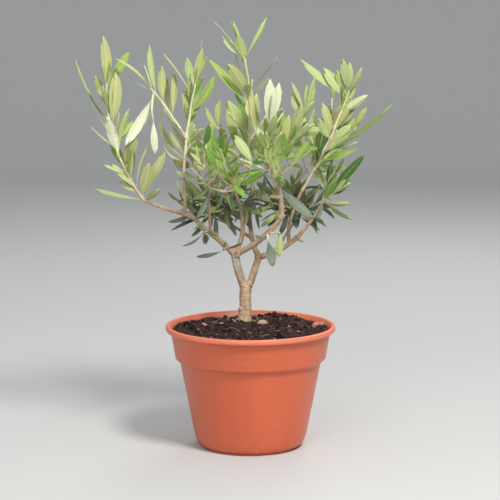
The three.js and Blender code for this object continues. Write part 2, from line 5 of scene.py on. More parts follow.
import bpy
import numpy as np
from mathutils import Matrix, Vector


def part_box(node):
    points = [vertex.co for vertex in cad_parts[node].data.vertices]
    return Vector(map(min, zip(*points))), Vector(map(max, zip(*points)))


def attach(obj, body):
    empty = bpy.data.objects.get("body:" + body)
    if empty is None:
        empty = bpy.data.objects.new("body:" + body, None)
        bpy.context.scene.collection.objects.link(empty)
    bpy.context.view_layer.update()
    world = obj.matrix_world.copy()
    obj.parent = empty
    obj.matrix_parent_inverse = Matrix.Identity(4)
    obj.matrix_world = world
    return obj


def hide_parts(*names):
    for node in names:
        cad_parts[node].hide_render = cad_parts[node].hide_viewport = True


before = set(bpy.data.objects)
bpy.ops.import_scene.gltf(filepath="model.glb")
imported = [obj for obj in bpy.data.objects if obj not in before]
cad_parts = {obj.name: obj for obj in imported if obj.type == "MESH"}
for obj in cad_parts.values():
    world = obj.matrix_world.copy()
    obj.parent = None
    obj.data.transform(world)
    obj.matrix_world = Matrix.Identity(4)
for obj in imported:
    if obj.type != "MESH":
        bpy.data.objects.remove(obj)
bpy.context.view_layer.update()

# Pot: one injection moulding in terracotta-coloured plastic, a tapering wall under a wider collar
# and a rolled lip. It stands on a low foot ring, with drain holes round its floor.
MM = 0.001
POT_HEIGHT = 122.0
RIM_RADIUS = 85.0
BASE_RADIUS = 49.5
WALL = 1.8
FLOOR_TOP = 4.0
POT_SIDES = 180
# Radius, height and rounding of each edge, from the foot up outside and down inside to the floor
POT_OUTSIDE = [
    (44.0, 1.3, 0.3), (44.8, 0.0, 0.3), (BASE_RADIUS, 0.0, 0.4), (BASE_RADIUS + 0.6, 2.2, 0.5),
    (BASE_RADIUS + 4.0, 3.6, 1.2), (BASE_RADIUS + 6.9, 12.0, 4.5), (70.6, POT_HEIGHT - 36.4, 0.4),
    (75.2, POT_HEIGHT - 32.8, 0.8), (79.9, POT_HEIGHT - 6.0, 0.4), (RIM_RADIUS - 0.6, POT_HEIGHT - 5.2, 0.6),
    (RIM_RADIUS, POT_HEIGHT - 3.0, 2.0), (RIM_RADIUS - 0.7, POT_HEIGHT - 0.2, 1.0),
    (RIM_RADIUS - 4.0, POT_HEIGHT, 1.0),
]
POT_INSIDE = [
    (79.9 - WALL, POT_HEIGHT - 6.0, 0.8), (75.2 - WALL, POT_HEIGHT - 31.4, 1.0),
    (70.3 - WALL, POT_HEIGHT - 36.9, 1.0), (BASE_RADIUS + 5.1, 12.6, 4.0),
    (BASE_RADIUS + 2.6, FLOOR_TOP + 1, 1.0),
]
DRAIN_RING = BASE_RADIUS * 0.77
DRAIN_RADIUS = 4.5
DRAIN_COUNT = 6


def rounded_profile(edges, steps=4):
    """Each corner of a polyline becomes a quadratic arc that starts and ends one rounding from it:
    p = (1-u)^2 a + 2u(1-u) corner + u^2 b, for u from 0 to 1."""
    corners = np.array([edge[:2] for edge in edges])
    rounding = np.array([edge[2] for edge in edges])
    u = np.linspace(0, 1, steps)[:, None]
    lines = [corners[:1]]
    for before, corner, after, size in zip(corners[:-2], corners[1:-1], corners[2:], rounding[1:-1]):
        back, on = before - corner, after - corner
        a = corner + back * min(0.45, size / np.linalg.norm(back))
        b = corner + on * min(0.45, size / np.linalg.norm(on))
        lines.append((1 - u) ** 2 * a + 2 * u * (1 - u) * corner + u ** 2 * b)
    lines.append(corners[-1:])
    return np.concatenate(lines)


def grid_faces(rows, columns):
    """Quads between neighbouring rings of a grid of rows x columns points."""
    row = np.arange(rows - 1)[:, None] * columns
    column = np.arange(columns)[None, :]
    after = (column + 1) % columns
    quads = [row + column, row + after, row + columns + after, row + columns + column]
    return np.stack(quads, axis=-1).reshape(-1, 4)


def new_piece(name, points, faces, finishes, finish_of=None):
    """A mesh object at the origin. points are millimetres, and faces is a list of index arrays, one
    array for each number of corners. finish_of gives each face's place in finishes."""
    mesh = bpy.data.meshes.new(name)
    corners = np.concatenate([group.ravel() for group in faces]).astype(np.int32)
    counts = np.concatenate([np.full(len(group), group.shape[1]) for group in faces])
    starts = np.concatenate(([0], np.cumsum(counts)[:-1])).astype(np.int32)
    mesh.vertices.add(len(points))
    mesh.vertices.foreach_set("co", (points * MM).astype(np.float32).ravel())
    mesh.loops.add(len(corners))
    mesh.loops.foreach_set("vertex_index", corners)
    mesh.polygons.add(len(counts))
    mesh.polygons.foreach_set("loop_start", starts)
    mesh.polygons.foreach_set("use_smooth", np.full(len(counts), True))
    if finish_of is not None:
        mesh.polygons.foreach_set("material_index", finish_of.astype(np.int32))
    mesh.update(calc_edges=True)
    mesh.validate()
    for finish in finishes:
        mesh.materials.append(finish)
    piece = bpy.data.objects.new(name, mesh)
    bpy.context.scene.collection.objects.link(piece)
    return piece


def skin_faces(rows, sides):
    """The faces of a closed skin: rows x sides points in rings, then one point at each end, to which
    the first and the last ring run in a fan."""
    column = np.arange(sides)
    after = (column + 1) % sides
    last = (rows - 1) * sides
    first_fan = np.stack([after, column, 0 * column + rows * sides], axis=-1)
    last_fan = np.stack([last + column, last + after, 0 * column + rows * sides + 1], axis=-1)
    return [grid_faces(rows, sides), np.concatenate([first_fan, last_fan])]


def repeated(faces, count, points_each):
    """The faces of a shape for count copies of it, whose points follow one another."""
    shift = (np.arange(count) * points_each)[:, None, None]
    return [(group + shift).reshape(-1, group.shape[1]) for group in faces]


def circle(sides):
    """Angles all the way round, evenly spaced."""
    return np.arange(sides) / sides * 2 * np.pi


def turned(profile, sides):
    """A surface of revolution: the point of the profile at radius r and height h goes to
    (r cos a, r sin a, h) for angles a all round. Its two ends, on the axis, are single points."""
    angle = circle(sides)
    radius, height = profile[1:-1, 0, None], profile[1:-1, 1, None]
    rings = np.stack([radius * np.cos(angle), radius * np.sin(angle), height + 0 * angle], axis=-1)
    points = np.concatenate([rings.reshape(-1, 3), [[0, 0, profile[0, 1]], [0, 0, profile[-1, 1]]]])
    return points, skin_faces(len(rings), sides)


def applied(piece, kind, **settings):
    """Puts one modifier on a piece and makes its result the piece's own mesh."""
    modifier = piece.modifiers.new(kind.lower(), kind)
    for key, value in settings.items():
        setattr(modifier, key, value)
    graph = bpy.context.evaluated_depsgraph_get()
    result = bpy.data.meshes.new_from_object(piece.evaluated_get(graph))
    piece.modifiers.clear()
    old = piece.data
    piece.data = result
    result.name = old.name
    bpy.data.meshes.remove(old)
    return piece


def grain_group():
    """Shader group: noise of a given scale on a stretched position, spread to a mask between two
    levels, and the same noise as a surface normal."""
    group = bpy.data.node_groups.new("grain", "ShaderNodeTree")
    sockets = group.interface
    sockets.new_socket("Position", in_out="INPUT", socket_type="NodeSocketVector")
    for name in ("Scale", "Detail", "Low", "High", "Relief", "Depth"):
        sockets.new_socket(name, in_out="INPUT", socket_type="NodeSocketFloat")
    sockets.new_socket("Mask", in_out="OUTPUT", socket_type="NodeSocketFloat")
    sockets.new_socket("Normal", in_out="OUTPUT", socket_type="NodeSocketVector")
    nodes, links = group.nodes, group.links
    given = nodes.new("NodeGroupInput")
    out = nodes.new("NodeGroupOutput")
    noise = nodes.new("ShaderNodeTexNoise")
    spread = nodes.new("ShaderNodeMapRange")
    bump = nodes.new("ShaderNodeBump")
    for given_name, node, node_input in [
        ("Position", noise, "Vector"), ("Scale", noise, "Scale"), ("Detail", noise, "Detail"),
        ("Low", spread, "From Min"), ("High", spread, "From Max"),
        ("Relief", bump, "Strength"), ("Depth", bump, "Distance"),
    ]:
        links.new(given.outputs[given_name], node.inputs[node_input])
    links.new(noise.outputs["Fac"], spread.inputs["Value"])
    links.new(noise.outputs["Fac"], bump.inputs["Height"])
    links.new(spread.outputs["Result"], out.inputs["Mask"])
    links.new(bump.outputs["Normal"], out.inputs["Normal"])
    return group


GRAIN = grain_group()


class Finish:
    """A material with a Principled shader, built up one node at a time. Its place is where a point
    of the piece is in the shared frame, in metres."""

    def __init__(self, name, colour, roughness, specular=0.5):
        self.material = bpy.data.materials.new(name)
        self.material.use_nodes = True
        self.material.diffuse_color = (*colour, 1)
        self.tree = self.material.node_tree
        self.shader = self.tree.nodes["Principled BSDF"]
        self.shader.inputs["Base Color"].default_value = (*colour, 1)
        self.shader.inputs["Roughness"].default_value = roughness
        self.shader.inputs["Specular IOR Level"].default_value = specular
        self.place = self.node("ShaderNodeTexCoord")["Object"]

    def node(self, kind, given=None, **settings):
        """The outputs of a new node. What is given for its inputs is linked or set."""
        node = self.tree.nodes.new(kind)
        for key, value in settings.items():
            setattr(node, key, value)
        for socket, value in (given or {}).items():
            if isinstance(value, bpy.types.NodeSocket):
                self.tree.links.new(value, node.inputs[socket])
            else:
                node.inputs[socket].default_value = value
        return node.outputs

    def grain(self, scale, low, high, detail=3, relief=0, depth=0.0002, stretch=None):
        """The mask and the normal of noise on the place, which can be stretched."""
        place = self.place
        if stretch:
            place = self.node("ShaderNodeMapping", {"Vector": place, "Scale": stretch})["Vector"]
        given = {"Position": place, "Scale": scale, "Detail": detail, "Low": low, "High": high,
                 "Relief": relief, "Depth": depth}
        return self.node("ShaderNodeGroup", given, node_tree=GRAIN)

    def attribute(self, name):
        """The value that the mesh has at its points under this name."""
        return self.node("ShaderNodeAttribute", attribute_name=name)["Fac"]

    def height(self, low, high):
        """Rises from 0 to 1 as the height above the floor goes from low to high, in metres."""
        level = self.node("ShaderNodeSeparateXYZ", {0: self.place})["Z"]
        return self.node("ShaderNodeMapRange", {"Value": level, "From Min": low, "From Max": high})["Result"]

    def product(self, one, other):
        """Two values multiplied."""
        return self.node("ShaderNodeMath", {0: one, 1: other}, operation="MULTIPLY")[0]

    def mix(self, mask, one, other):
        """The one colour where the mask is 0, the other where it is 1."""
        one, other = ((*value, 1) if isinstance(value, tuple) else value for value in (one, other))
        return self.node("ShaderNodeMix", {"Factor": mask, 6: one, 7: other}, data_type="RGBA")[2]

    def over(self, colour, mask, most, tone):
        """Lays a tone over a colour by a mask, of which the given share counts."""
        return self.mix(self.product(mask, most), colour, tone)

    def drive(self, socket, value):
        """Feeds what changes over the surface to the shader."""
        self.tree.links.new(value, self.shader.inputs[socket])


pot_finish = Finish("pot_plastic", (0.56, 0.115, 0.058), 0.42)
pot_tone = pot_finish.grain(22, 0.3, 0.7, detail=2, stretch=(1, 1, 0.25))
pot_colour = pot_finish.mix(pot_tone["Mask"], (0.54, 0.103, 0.041), (0.61, 0.121, 0.05))
# Dust lies low on the wall and scuffs run round it. The top of the lip is painted paler: a painted
# highlight where light from above falls on it
pot_dust = pot_finish.grain(260, 0.56, 0.7, detail=6)
dust_low = pot_finish.product(pot_dust["Mask"], pot_finish.height(0.028, 0.002))
pot_colour = pot_finish.over(pot_colour, dust_low, 0.25, (0.62, 0.36, 0.27))
pot_scuff = pot_finish.grain(120, 0.62, 0.74, detail=8, stretch=(1, 1, 4))
pot_colour = pot_finish.over(pot_colour, pot_scuff["Mask"], 0.22, (0.66, 0.30, 0.21))
# Painted highlight: a paler band over the top of the lip, as if lit from above
pot_colour = pot_finish.over(pot_colour, pot_finish.height(0.1165, 0.1185), 0.34, (0.80, 0.29, 0.19))
pot_finish.drive("Base Color", pot_colour)
pot_rough = pot_finish.node("ShaderNodeMapRange", {"Value": pot_dust["Mask"], "To Min": 0.34, "To Max": 0.46})
pot_finish.drive("Roughness", pot_rough["Result"])
pot_skin = pot_finish.grain(900, 0.3, 0.7, relief=0.12, depth=0.0001)
pot_finish.drive("Normal", pot_skin["Normal"])

# The floor is thicker at its middle, where the plastic entered the mould
pot_profile = rounded_profile(
    [(0.0, 0.9, 0), (3.2, 0.9, 0.2), (3.8, 1.3, 0.2), *POT_OUTSIDE, *POT_INSIDE, (0.0, FLOOR_TOP, 0)]
)
pot = new_piece("pot_shell", *turned(pot_profile, POT_SIDES), [pot_finish.material])
drill_profile = np.array([(0, -2.0), (DRAIN_RADIUS, -2.0), (DRAIN_RADIUS, 8.0), (0, 8.0)])
drill_points, drill_faces = turned(drill_profile, 32)
hole_angle = (np.arange(DRAIN_COUNT) + 0.5) / DRAIN_COUNT * 2 * np.pi
hole_centres = DRAIN_RING * np.stack([np.cos(hole_angle), np.sin(hole_angle), 0 * hole_angle], axis=-1)
all_drills = (drill_points + hole_centres[:, None]).reshape(-1, 3)
drills = new_piece("drills", all_drills, repeated(drill_faces, DRAIN_COUNT, len(drill_points)), [])
applied(pot, "BOOLEAN", operation="DIFFERENCE", object=drills, solver="EXACT")
bpy.data.objects.remove(drills)
CRISP_EDGE = 38
pot.data.set_sharp_from_angle(angle=math.radians(CRISP_EDGE))
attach(pot, "root")
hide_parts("pot")

# Compost: dark moist compost that fills the pot to just under the rim. It is crumbly, with bark
# chips, fibres and thin roots lying on it, and highest behind the trunk.
SOIL_RADIUS = 77.3
CLEARANCE = 0.3
FOOT = np.array([-6.0, 18.0, POT_HEIGHT + 1])
# The radius that the dish of the compost is measured by, and the level ground round the trunk's foot
DISH_RADIUS = 78
LEVEL_RADIUS, BLEND_WIDTH = 16, 18
# Crumbs, fibres and chips lie this far from the trunk's middle, and no further out than this
FOOT_ROOM = 9.5
SOIL_REACH = SOIL_RADIUS - 2.5


def chance(seed, n):
    """A repeatable number from 0 to 1: the fraction of 43758.5453 sin(12.9898 seed + 78.233 n)."""
    wave = np.sin(seed * 12.9898 + n * 78.233) * 43758.5453
    return wave - np.floor(wave)


def eased(u):
    """From 0 to 1 with level ends: 3u^2 - 2u^3."""
    return u * u * (3 - 2 * u)


def from_foot(x, y):
    """How far a place is from the trunk's middle, seen from above."""
    return np.hypot(x - FOOT[0], y - FOOT[1])


def lattice_noise(points, size, seed):
    """Smooth noise from -1 to 1: a random value at each corner of a lattice of the given size, with
    an eased blend between the eight corners round a point."""
    scaled = points / size
    cell = np.floor(scaled)
    u = eased(scaled - cell)
    total = np.zeros(len(points))
    for corner in np.ndindex(2, 2, 2):
        c = cell + corner
        value = chance(seed, c[:, 0] * 0.731 + c[:, 1] * 5.173 + c[:, 2] * 11.37)
        weight = np.prod(np.where(np.array(corner), u, 1 - u), axis=1)
        total += weight * (2 * value - 1)
    return total


def soil_height(x, y):
    """The rim less a dish that deepens with the square of the radius, less a dip to the back, plus a
    clod behind the trunk and a ripple; round the trunk it blends into a level."""
    dish = 2.4 * (np.hypot(x, y) / DISH_RADIUS) ** 2
    back_dip = 5 * (np.maximum(y, 0) / DISH_RADIUS) ** 2
    clod = 6 * np.exp(-(((x - 22) / 26) ** 2) - ((y - 34) / 24) ** 2)
    ripple = 1.2 * np.sin(x / 9 + 1) * np.cos(y / 11)
    free = POT_HEIGHT - 0.9 - dish - back_dip + clod + ripple
    blend = eased(np.clip((from_foot(x, y) - LEVEL_RADIUS) / BLEND_WIDTH, 0, 1))
    return (FOOT[2] - CLEARANCE) * (1 - blend) + free * blend


def crumbled_height(x, y):
    """The soil's height with crumbs of three sizes, calmed at the wall and the trunk's foot."""
    place = np.stack([x, y, 0 * x], axis=-1)
    crumbs = 1.5 * lattice_noise(place, 9, 3) + 1.6 * np.abs(lattice_noise(place, 3.6, 5))
    crumbs += 0.45 * lattice_noise(place, 1.6, 7)
    calm = np.clip((SOIL_RADIUS - np.hypot(x, y)) / 3, 0.2, 1)
    calm *= np.clip((from_foot(x, y) - 5) / 6, 0.25, 1)
    return soil_height(x, y) - 0.3 + crumbs * calm


SOIL_RINGS = 96
SOIL_SIDES = 300
soil_side = [(0, FLOOR_TOP + 0.4), (BASE_RADIUS + 1.8, FLOOR_TOP + 1.4), (BASE_RADIUS + 4.3, 13.0),
             (67.7, POT_HEIGHT - 36.5), (72.6, POT_HEIGHT - 31.0), (76.8, POT_HEIGHT - 8.0)]
soil_top = [(SOIL_RADIUS * (1 - k / SOIL_RINGS), POT_HEIGHT) for k in range(SOIL_RINGS)]
soil_points, soil_faces = turned(np.array([*soil_side, *soil_top, (0, POT_HEIGHT)]), SOIL_SIDES)
on_top = soil_points[:, 2] > POT_HEIGHT - 0.5
soil_points[on_top, 2] = crumbled_height(soil_points[on_top, 0], soil_points[on_top, 1])

soil_finish = Finish("compost_soil", (0.035, 0.022, 0.017), 0.95, specular=0.25)
soil_tone = soil_finish.grain(420, 0.35, 0.68, detail=6, relief=0.6, depth=0.0006)
soil_red = soil_finish.grain(150, 0.5, 0.72, detail=4)
soil_colour = soil_finish.mix(soil_tone["Mask"], (0.008, 0.005, 0.005), (0.042, 0.024, 0.02))
soil_colour = soil_finish.mix(soil_red["Mask"], soil_colour, (0.055, 0.022, 0.015))
soil_finish.drive("Base Color", soil_colour)
soil_finish.drive("Normal", soil_tone["Normal"])
compost = new_piece("compost_fill", soil_points, soil_faces, [soil_finish.material])
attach(compost, "root")
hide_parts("compost")


def turned_frames(seed, count, tilt):
    """Right-handed frames with a random heading and a tilt up to the given angle in degrees: three
    unit vectors each, as the columns of a matrix."""
    n = np.arange(count)
    heading = 2 * np.pi * chance(seed, n)
    lean = np.radians(tilt) * (2 * chance(seed + 1, n) - 1)
    roll = np.radians(tilt) * (2 * chance(seed + 2, n) - 1)
    a = np.stack([np.cos(heading) * np.cos(lean), np.sin(heading) * np.cos(lean), np.sin(lean)], axis=-1)
    up = np.stack([0 * n, 0 * n, 1 + 0 * n], axis=-1)
    b = np.cross(up, a)
    b /= np.linalg.norm(b, axis=1, keepdims=True)
    c = np.cross(a, b)
    cosine, sine = np.cos(roll)[:, None], np.sin(roll)[:, None]
    return np.stack([a, b * cosine + c * sine, c * cosine - b * sine], axis=-1)


def copies(template, faces, centres, frames, sizes):
    """Many copies of one small shape in one mesh: point p goes to centre + frame (size * p)."""
    scaled = template[None] * sizes[:, None, :]
    points = np.einsum("nij,nkj->nki", frames, scaled) + centres[:, None, :]
    return points.reshape(-1, 3), repeated(faces, len(centres), len(template))


def finish_of_each(choice, faces):
    """The finish of every face, where each copy of a shape has one finish."""
    return np.concatenate([np.repeat(choice, len(group)) for group in faces])


def toned_finishes(name, tones, roughness, specular, scale, low=0.3, high=0.7, shares=None, **grain):
    """A finish for each tone, all with one fine grain. shares are what the grain's dark and light
    parts have of the tone."""
    finishes = []
    for k, tone in enumerate(tones):
        made = Finish(f"{name}_{k}", tone, roughness, specular)
        speckle = made.grain(scale, low, high, **grain)
        if shares:
            dark, light = (tuple(share * value for value in tone) for share in shares)
            made.drive("Base Color", made.mix(speckle["Mask"], dark, light))
        made.drive("Normal", speckle["Normal"])
        finishes.append(made.material)
    return finishes


def on_soil(seed, count, sink):
    """Random places spread evenly over the compost, apart from the trunk's foot, sunk a little."""
    n = np.arange(4 * count)
    radius, angle = SOIL_REACH * np.sqrt(chance(seed, n)), 2 * np.pi * chance(seed + 0.5, n)
    x, y = radius * np.cos(angle), radius * np.sin(angle)
    clear = from_foot(x, y) > FOOT_ROOM
    x, y = x[clear][:count], y[clear][:count]
    return np.stack([x, y, crumbled_height(x, y) - sink], axis=-1)


# A crumb is a lumpy ball of two rings and two ends
CRUMB_SIDES = 6
crumb_angle = circle(CRUMB_SIDES)
crumb = np.array(
    [(0.85 * math.cos(a), 0.85 * math.sin(a), -0.45 + 0.15 * math.sin(3 * a)) for a in crumb_angle]
    + [(0.8 * math.cos(a + 0.5), 0.8 * math.sin(a + 0.5), 0.5 + 0.2 * math.cos(2 * a)) for a in crumb_angle]
    + [(0, 0, -1), (0, 0, 0.95)]
)
crumb_faces = skin_faces(2, CRUMB_SIDES)
CRUMBS = 2600
LARGE_CRUMBS = 70
n = np.arange(CRUMBS)
crumb_size = 0.45 + 1.5 * chance(11, n) ** 3
crumb_size[:LARGE_CRUMBS] += 1.0 + 1.3 * chance(10, n[:LARGE_CRUMBS])
crumb_shape = 0.7 + 0.6 * np.stack([chance(seed, n) for seed in (12, 13, 14)], axis=-1)
crumb_sizes = crumb_size[:, None] * crumb_shape
crumb_mesh = copies(crumb, crumb_faces, on_soil(15, CRUMBS, 0.2), turned_frames(16, CRUMBS, 70), crumb_sizes)
CRUMB_TONES = [(0.008, 0.005, 0.005), (0.02, 0.0115, 0.010), (0.055, 0.023, 0.017), (0.12, 0.065, 0.046)]
crumb_finishes = toned_finishes("crumb", CRUMB_TONES, 0.9, 0.2, 1500, relief=0.5, depth=0.0002)
crumb_tone = np.searchsorted([0.56, 0.85, 0.96], chance(17, n))
crumb_finish_of = finish_of_each(crumb_tone, crumb_faces)
crumb_piece = new_piece("compost_crumbs", *crumb_mesh, crumb_finishes, crumb_finish_of)
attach(crumb_piece, "root")


def tube_mesh(centres, radii, sides):
    """A tube through rows of centres: each ring is centre + radius (across cos a + other sin a), with
    across square to the heading and as level as it can be. Closed ends are single points."""
    step = np.gradient(centres, axis=0)
    along = step / np.linalg.norm(step, axis=1, keepdims=True)
    level = np.where(np.abs(along[:, 1:2]) > 0.85, [[1.0, 0, 0]], [[0, 1.0, 0]])
    across = np.cross(along, level)
    across /= np.linalg.norm(across, axis=1, keepdims=True)
    other = np.cross(along, across)
    angle = circle(sides)[:, None]
    rings = centres[:, None] + radii[:, None, None] * (
        across[:, None] * np.cos(angle) + other[:, None] * np.sin(angle)
    )
    first = centres[0] - along[0] * radii[0] * 0.5
    last = centres[-1] + along[-1] * radii[-1] * 0.6
    return np.concatenate([rings.reshape(-1, 3), [first, last]]), skin_faces(len(centres), sides)


def joined(parts):
    """Several (points, [quads, triangles]) meshes as one."""
    shift = 0
    points, quads, triangles = [], [], []
    for part_points, (part_quads, part_triangles) in parts:
        points.append(part_points)
        quads.append(part_quads + shift)
        triangles.append(part_triangles + shift)
        shift += len(part_points)
    return np.concatenate(points), [np.concatenate(quads), np.concatenate(triangles)]


def strand(seed, place, length, radius, lift):
    """A fibre or thin root: a level curve of two bends that rises by lift at its middle."""
    t = np.linspace(0, 1, 7)
    turn = 2 * np.pi * chance(seed, 1)
    bend = 0.35 * length * (chance(seed, 2) - 0.5) * np.sin(np.pi * t) * 2
    forward = length * (t - 0.5)
    x = place[0] + forward * np.cos(turn) - bend * np.sin(turn)
    y = place[1] + forward * np.sin(turn) + bend * np.cos(turn)
    reach = np.hypot(x, y)
    inside = np.minimum(1, (SOIL_RADIUS - 1.5) / reach)
    x, y = x * inside, y * inside
    z = crumbled_height(x, y) + radius * 0.6 + lift * np.sin(np.pi * t)
    return tube_mesh(np.stack([x, y, z], axis=-1), radius * (1.1 - 0.5 * t), 5)


FIBRES = 300
fibre_parts = []
for k, place in enumerate(on_soil(21, FIBRES, 0)):
    length = 4 + 11 * chance(22, k) ** 2
    fibre_parts.append(strand(30 + k, place, length, 0.14 + 0.24 * chance(23, k), 1.6 * chance(24, k) ** 3))
# Thin roots that arch out of the compost round the trunk's foot
ROOTS = 9
ROOT_RING = 12.5
for k in range(ROOTS):
    turn = 2 * np.pi * (k + 0.5 * chance(25, k)) / ROOTS
    near = FOOT[:2] + ROOT_RING * np.array([np.cos(turn), np.sin(turn)])
    fibre_parts.append(strand(400 + k, near, 11, 0.38, 1.5 + 1.5 * chance(26, k)))
FIBRE_TONES = [(0.04, 0.02, 0.016), (0.11, 0.052, 0.033), (0.30, 0.19, 0.12), (0.42, 0.29, 0.19)]
fibre_finishes = toned_finishes("fibre", FIBRE_TONES, 0.8, 0.3, 1200, relief=0.4, depth=0.0001)
fibre_tone = np.searchsorted([0.4, 0.82, 0.95], chance(27, np.arange(FIBRES)))
fibre_tone = np.concatenate([fibre_tone, 2 + (chance(28, np.arange(ROOTS)) > 0.4)])
fibre_piece = new_piece("compost_fibres", *joined(fibre_parts), fibre_finishes,
                        finish_of_each(fibre_tone, fibre_parts[0][1]))
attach(fibre_piece, "root")

# Bark chips: flat flakes of bark with a broken outline, mixed into the compost and lying loose on
# it. The four largest lie where they catch the eye.
CHIPS = 46
CHIP_SIDES = 8
chip_angle = circle(CHIP_SIDES)
chip_edge = np.stack([np.cos(chip_angle) * (1 + 0.12 * np.cos(3 * chip_angle)),
                      np.sin(chip_angle) * (0.9 + 0.2 * np.sin(2 * chip_angle + 1)), 0 * chip_angle], axis=-1)
chip = np.concatenate([
    chip_edge * 0.8 + [0, 0, -0.5], chip_edge + [0, 0, -0.1], chip_edge * 0.9 + [0, 0, 0.35],
    chip_edge * 0.45 + [0, 0, 0.6], [[0, 0, -0.5], [0, 0, 0.5]],
])
chip_faces = skin_faces(4, CHIP_SIDES)
chip_places = on_soil(31, CHIPS, -0.3)
n = np.arange(CHIPS)
chip_long = 1.4 + 2.4 * chance(32, n) ** 2
chip_wide = chip_long * (0.4 + 0.3 * chance(33, n))
chip_sizes = np.stack([chip_long, chip_wide, 0.5 + 0.3 * chip_long], axis=-1)
# Place, height above the compost and half sizes of each
BIG_CHIPS = [
    (11.5, -5.0, 2.2, 5.2, 3.8, 5.0), (65.5, -1.0, 1.9, 4.6, 3.6, 4.2), (71.0, 2.5, 1.6, 3.6, 3.2, 4.0),
    (-46.0, -4.0, 1.2, 3.4, 2.8, 2.6),
]
for k, (x, y, lift, *size) in enumerate(BIG_CHIPS):
    chip_places[k] = (x, y, crumbled_height(np.array([x]), np.array([y]))[0] + lift)
    chip_sizes[k] = size
chip_frames = turned_frames(34, CHIPS, 22)
chip_frames[0] = np.eye(3)
CHIP_TONES = [(0.46, 0.32, 0.21), (0.52, 0.22, 0.15), (0.22, 0.13, 0.09), (0.12, 0.075, 0.055)]
chip_finishes = toned_finishes("chip", CHIP_TONES, 0.85, 0.25, 500, relief=0.5, depth=0.0003,
                               shares=(0.5, 1.15), detail=4, stretch=(1, 3, 3))
chip_tone = np.searchsorted([0.15, 0.3, 0.6], chance(35, n))
chip_tone[:len(BIG_CHIPS)] = (0, 1, 1, 1)
chip_mesh = copies(chip, chip_faces, chip_places, chip_frames, chip_sizes)
chip_piece = new_piece("compost_chips", *chip_mesh, chip_finishes, finish_of_each(chip_tone, chip_faces))
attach(chip_piece, "root")

# Trunk and boughs: living wood under thin bark, tan to grey on the trunk and browner above. The
# limbs run into one another in one skin, with swellings at old leaf nodes, and end where shoots begin.
BARK_VOXEL = 0.55
# A limb thicker than this at its start is old: straighter, and with lower swellings
OLD_RADIUS = 3.3


def limb_from(on, at, tip, bow, radii, stout=0.92):
    """A limb: its parent and the share along it where it starts, its tip, its bow, its radii at the
    start and the tip, and how stout it is beside those."""
    return {"on": on, "at": at, "tip": tip, "bow": bow, "radii": radii, "stout": stout}


LIMBS = {
    "trunk": limb_from(None, 0, (-4.5, 18, 159), (0, 0, 0), (6.2, 5.7), 1),
    "left_stem": limb_from("trunk", 0.8, (-16, 17, 192), (-1, 0, 0), (4.5, 4.2), 0.94),
    "right_stem": limb_from("trunk", 0.8, (8.5, 27, 187), (1, 0, 0), (4.0, 3.6), 0.94),
    "left_bough": limb_from("left_stem", 0.97, (-60, 8, 231), (1, 0, -1), (3.5, 2.5), 0.86),
    "left_arm": limb_from("left_bough", 1, (-105, 2, 246), (0, 0, -1), (2.4, 1.7)),
    "left_riser": limb_from("left_arm", 0.13, (-66, 4, 273), (1, 0, 0), (1.9, 1.6)),
    "left_twig": limb_from("left_bough", 0.55, (-41, 0, 258), (-1, 0, 0), (1.7, 1.5)),
    "right_bough": limb_from("left_stem", 0.97, (31, -2, 231), (2, -3, -4), (3.7, 3.2), 0.84),
    "right_spur": limb_from("right_bough", 1, (28, -6, 260), (1, 0, 0), (3, 2.6), 0.86),
    "middle_stem": limb_from("left_stem", 0.97, (-17, 32, 252), (9, 2, 0), (2.8, 2.2)),
    "middle_left": limb_from("middle_stem", 1, (-31, 28, 267), (0, 0, 0), (2.1, 1.9)),
    "middle_right": limb_from("middle_stem", 1, (-8, 30, 268), (0, 0, 0), (1.8, 1.6)),
    "right_branch": limb_from("right_stem", 0.98, (47, 20, 207), (1, 0, -3), (3, 2.3)),
    "right_arm": limb_from("right_branch", 1, (72, 14, 243), (0, 0, -2), (2.2, 1.6)),
    "right_riser": limb_from("right_branch", 0.78, (51, 10, 255), (-5, 0, -2), (2.1, 1.6)),
    "back_stem": limb_from("right_stem", 0.98, (3, 58, 243), (-6, 0, 0), (2.9, 2.1)),
    "back_left": limb_from("back_stem", 0.55, (-45, 66, 250), (0, 4, -4), (2, 1.5)),
    "back_right": limb_from("back_stem", 0.75, (45, 62, 256), (0, 4, -3), (1.9, 1.5)),
    "low_left": limb_from("back_stem", 0.3, (-36, 54, 222), (0, 2, 2), (1.8, 1.4)),
    "low_right": limb_from("right_branch", 0.35, (48, 54, 224), (0, 4, -2), (1.8, 1.4)),
}
# Short dead stubs left where side shoots were cut: where each starts and ends, and its radius
STUBS = [
    ((-61, 8, 230), (-69, 6, 237), 1.9), ((28, -6, 250), (19, -9, 252), 1.9),
    ((28, -6, 258), (27, -7, 264), 2.8), ((-16, 17, 190), (-13, 10, 194), 2.0),
    ((8, 27, 185), (13, 21, 188), 1.7), ((47, 20, 206), (53, 17, 203), 1.5),
    ((-17, 32, 250), (-14, 27, 257), 1.7),
]
# Lumps of callus on the trunk and stems: centre, radius
LUMPS = [
    ((-9.6, 15.0, 135), 2.9), ((-13, 14, 191), 3.4), ((-19, 17, 193), 3.4), ((7, 25, 187), 3.0),
    ((-1, 16, 160), 3.4), ((-60, 8, 231), 2.9), ((30, -2, 231), 3.6), ((46, 20, 207), 2.6),
    ((-9, 17, 164), 2.8),
]


def bowed(start, tip, bow):
    """A path: start + (tip - start) t + 4 t (1 - t) bow, for t from 0 to 1."""
    start, tip, bow = (np.array(point, float) for point in (start, tip, bow))

    def path(t):
        t = np.asarray(t, float)[..., None]
        return start + (tip - start) * t + bow * 4 * t * (1 - t)

    return path


def limb_path(name):
    """The path of a limb, which starts on its parent's path, or at the foot, and bows to its tip."""
    limb = LIMBS[name]
    start = limb_path(limb["on"])(limb["at"]) if limb["on"] else FOOT
    return bowed(start, limb["tip"], limb["bow"])


def path_length(path):
    """The distance between the ends of a path, without its bow."""
    return np.linalg.norm(path(1.0) - path(0.0))


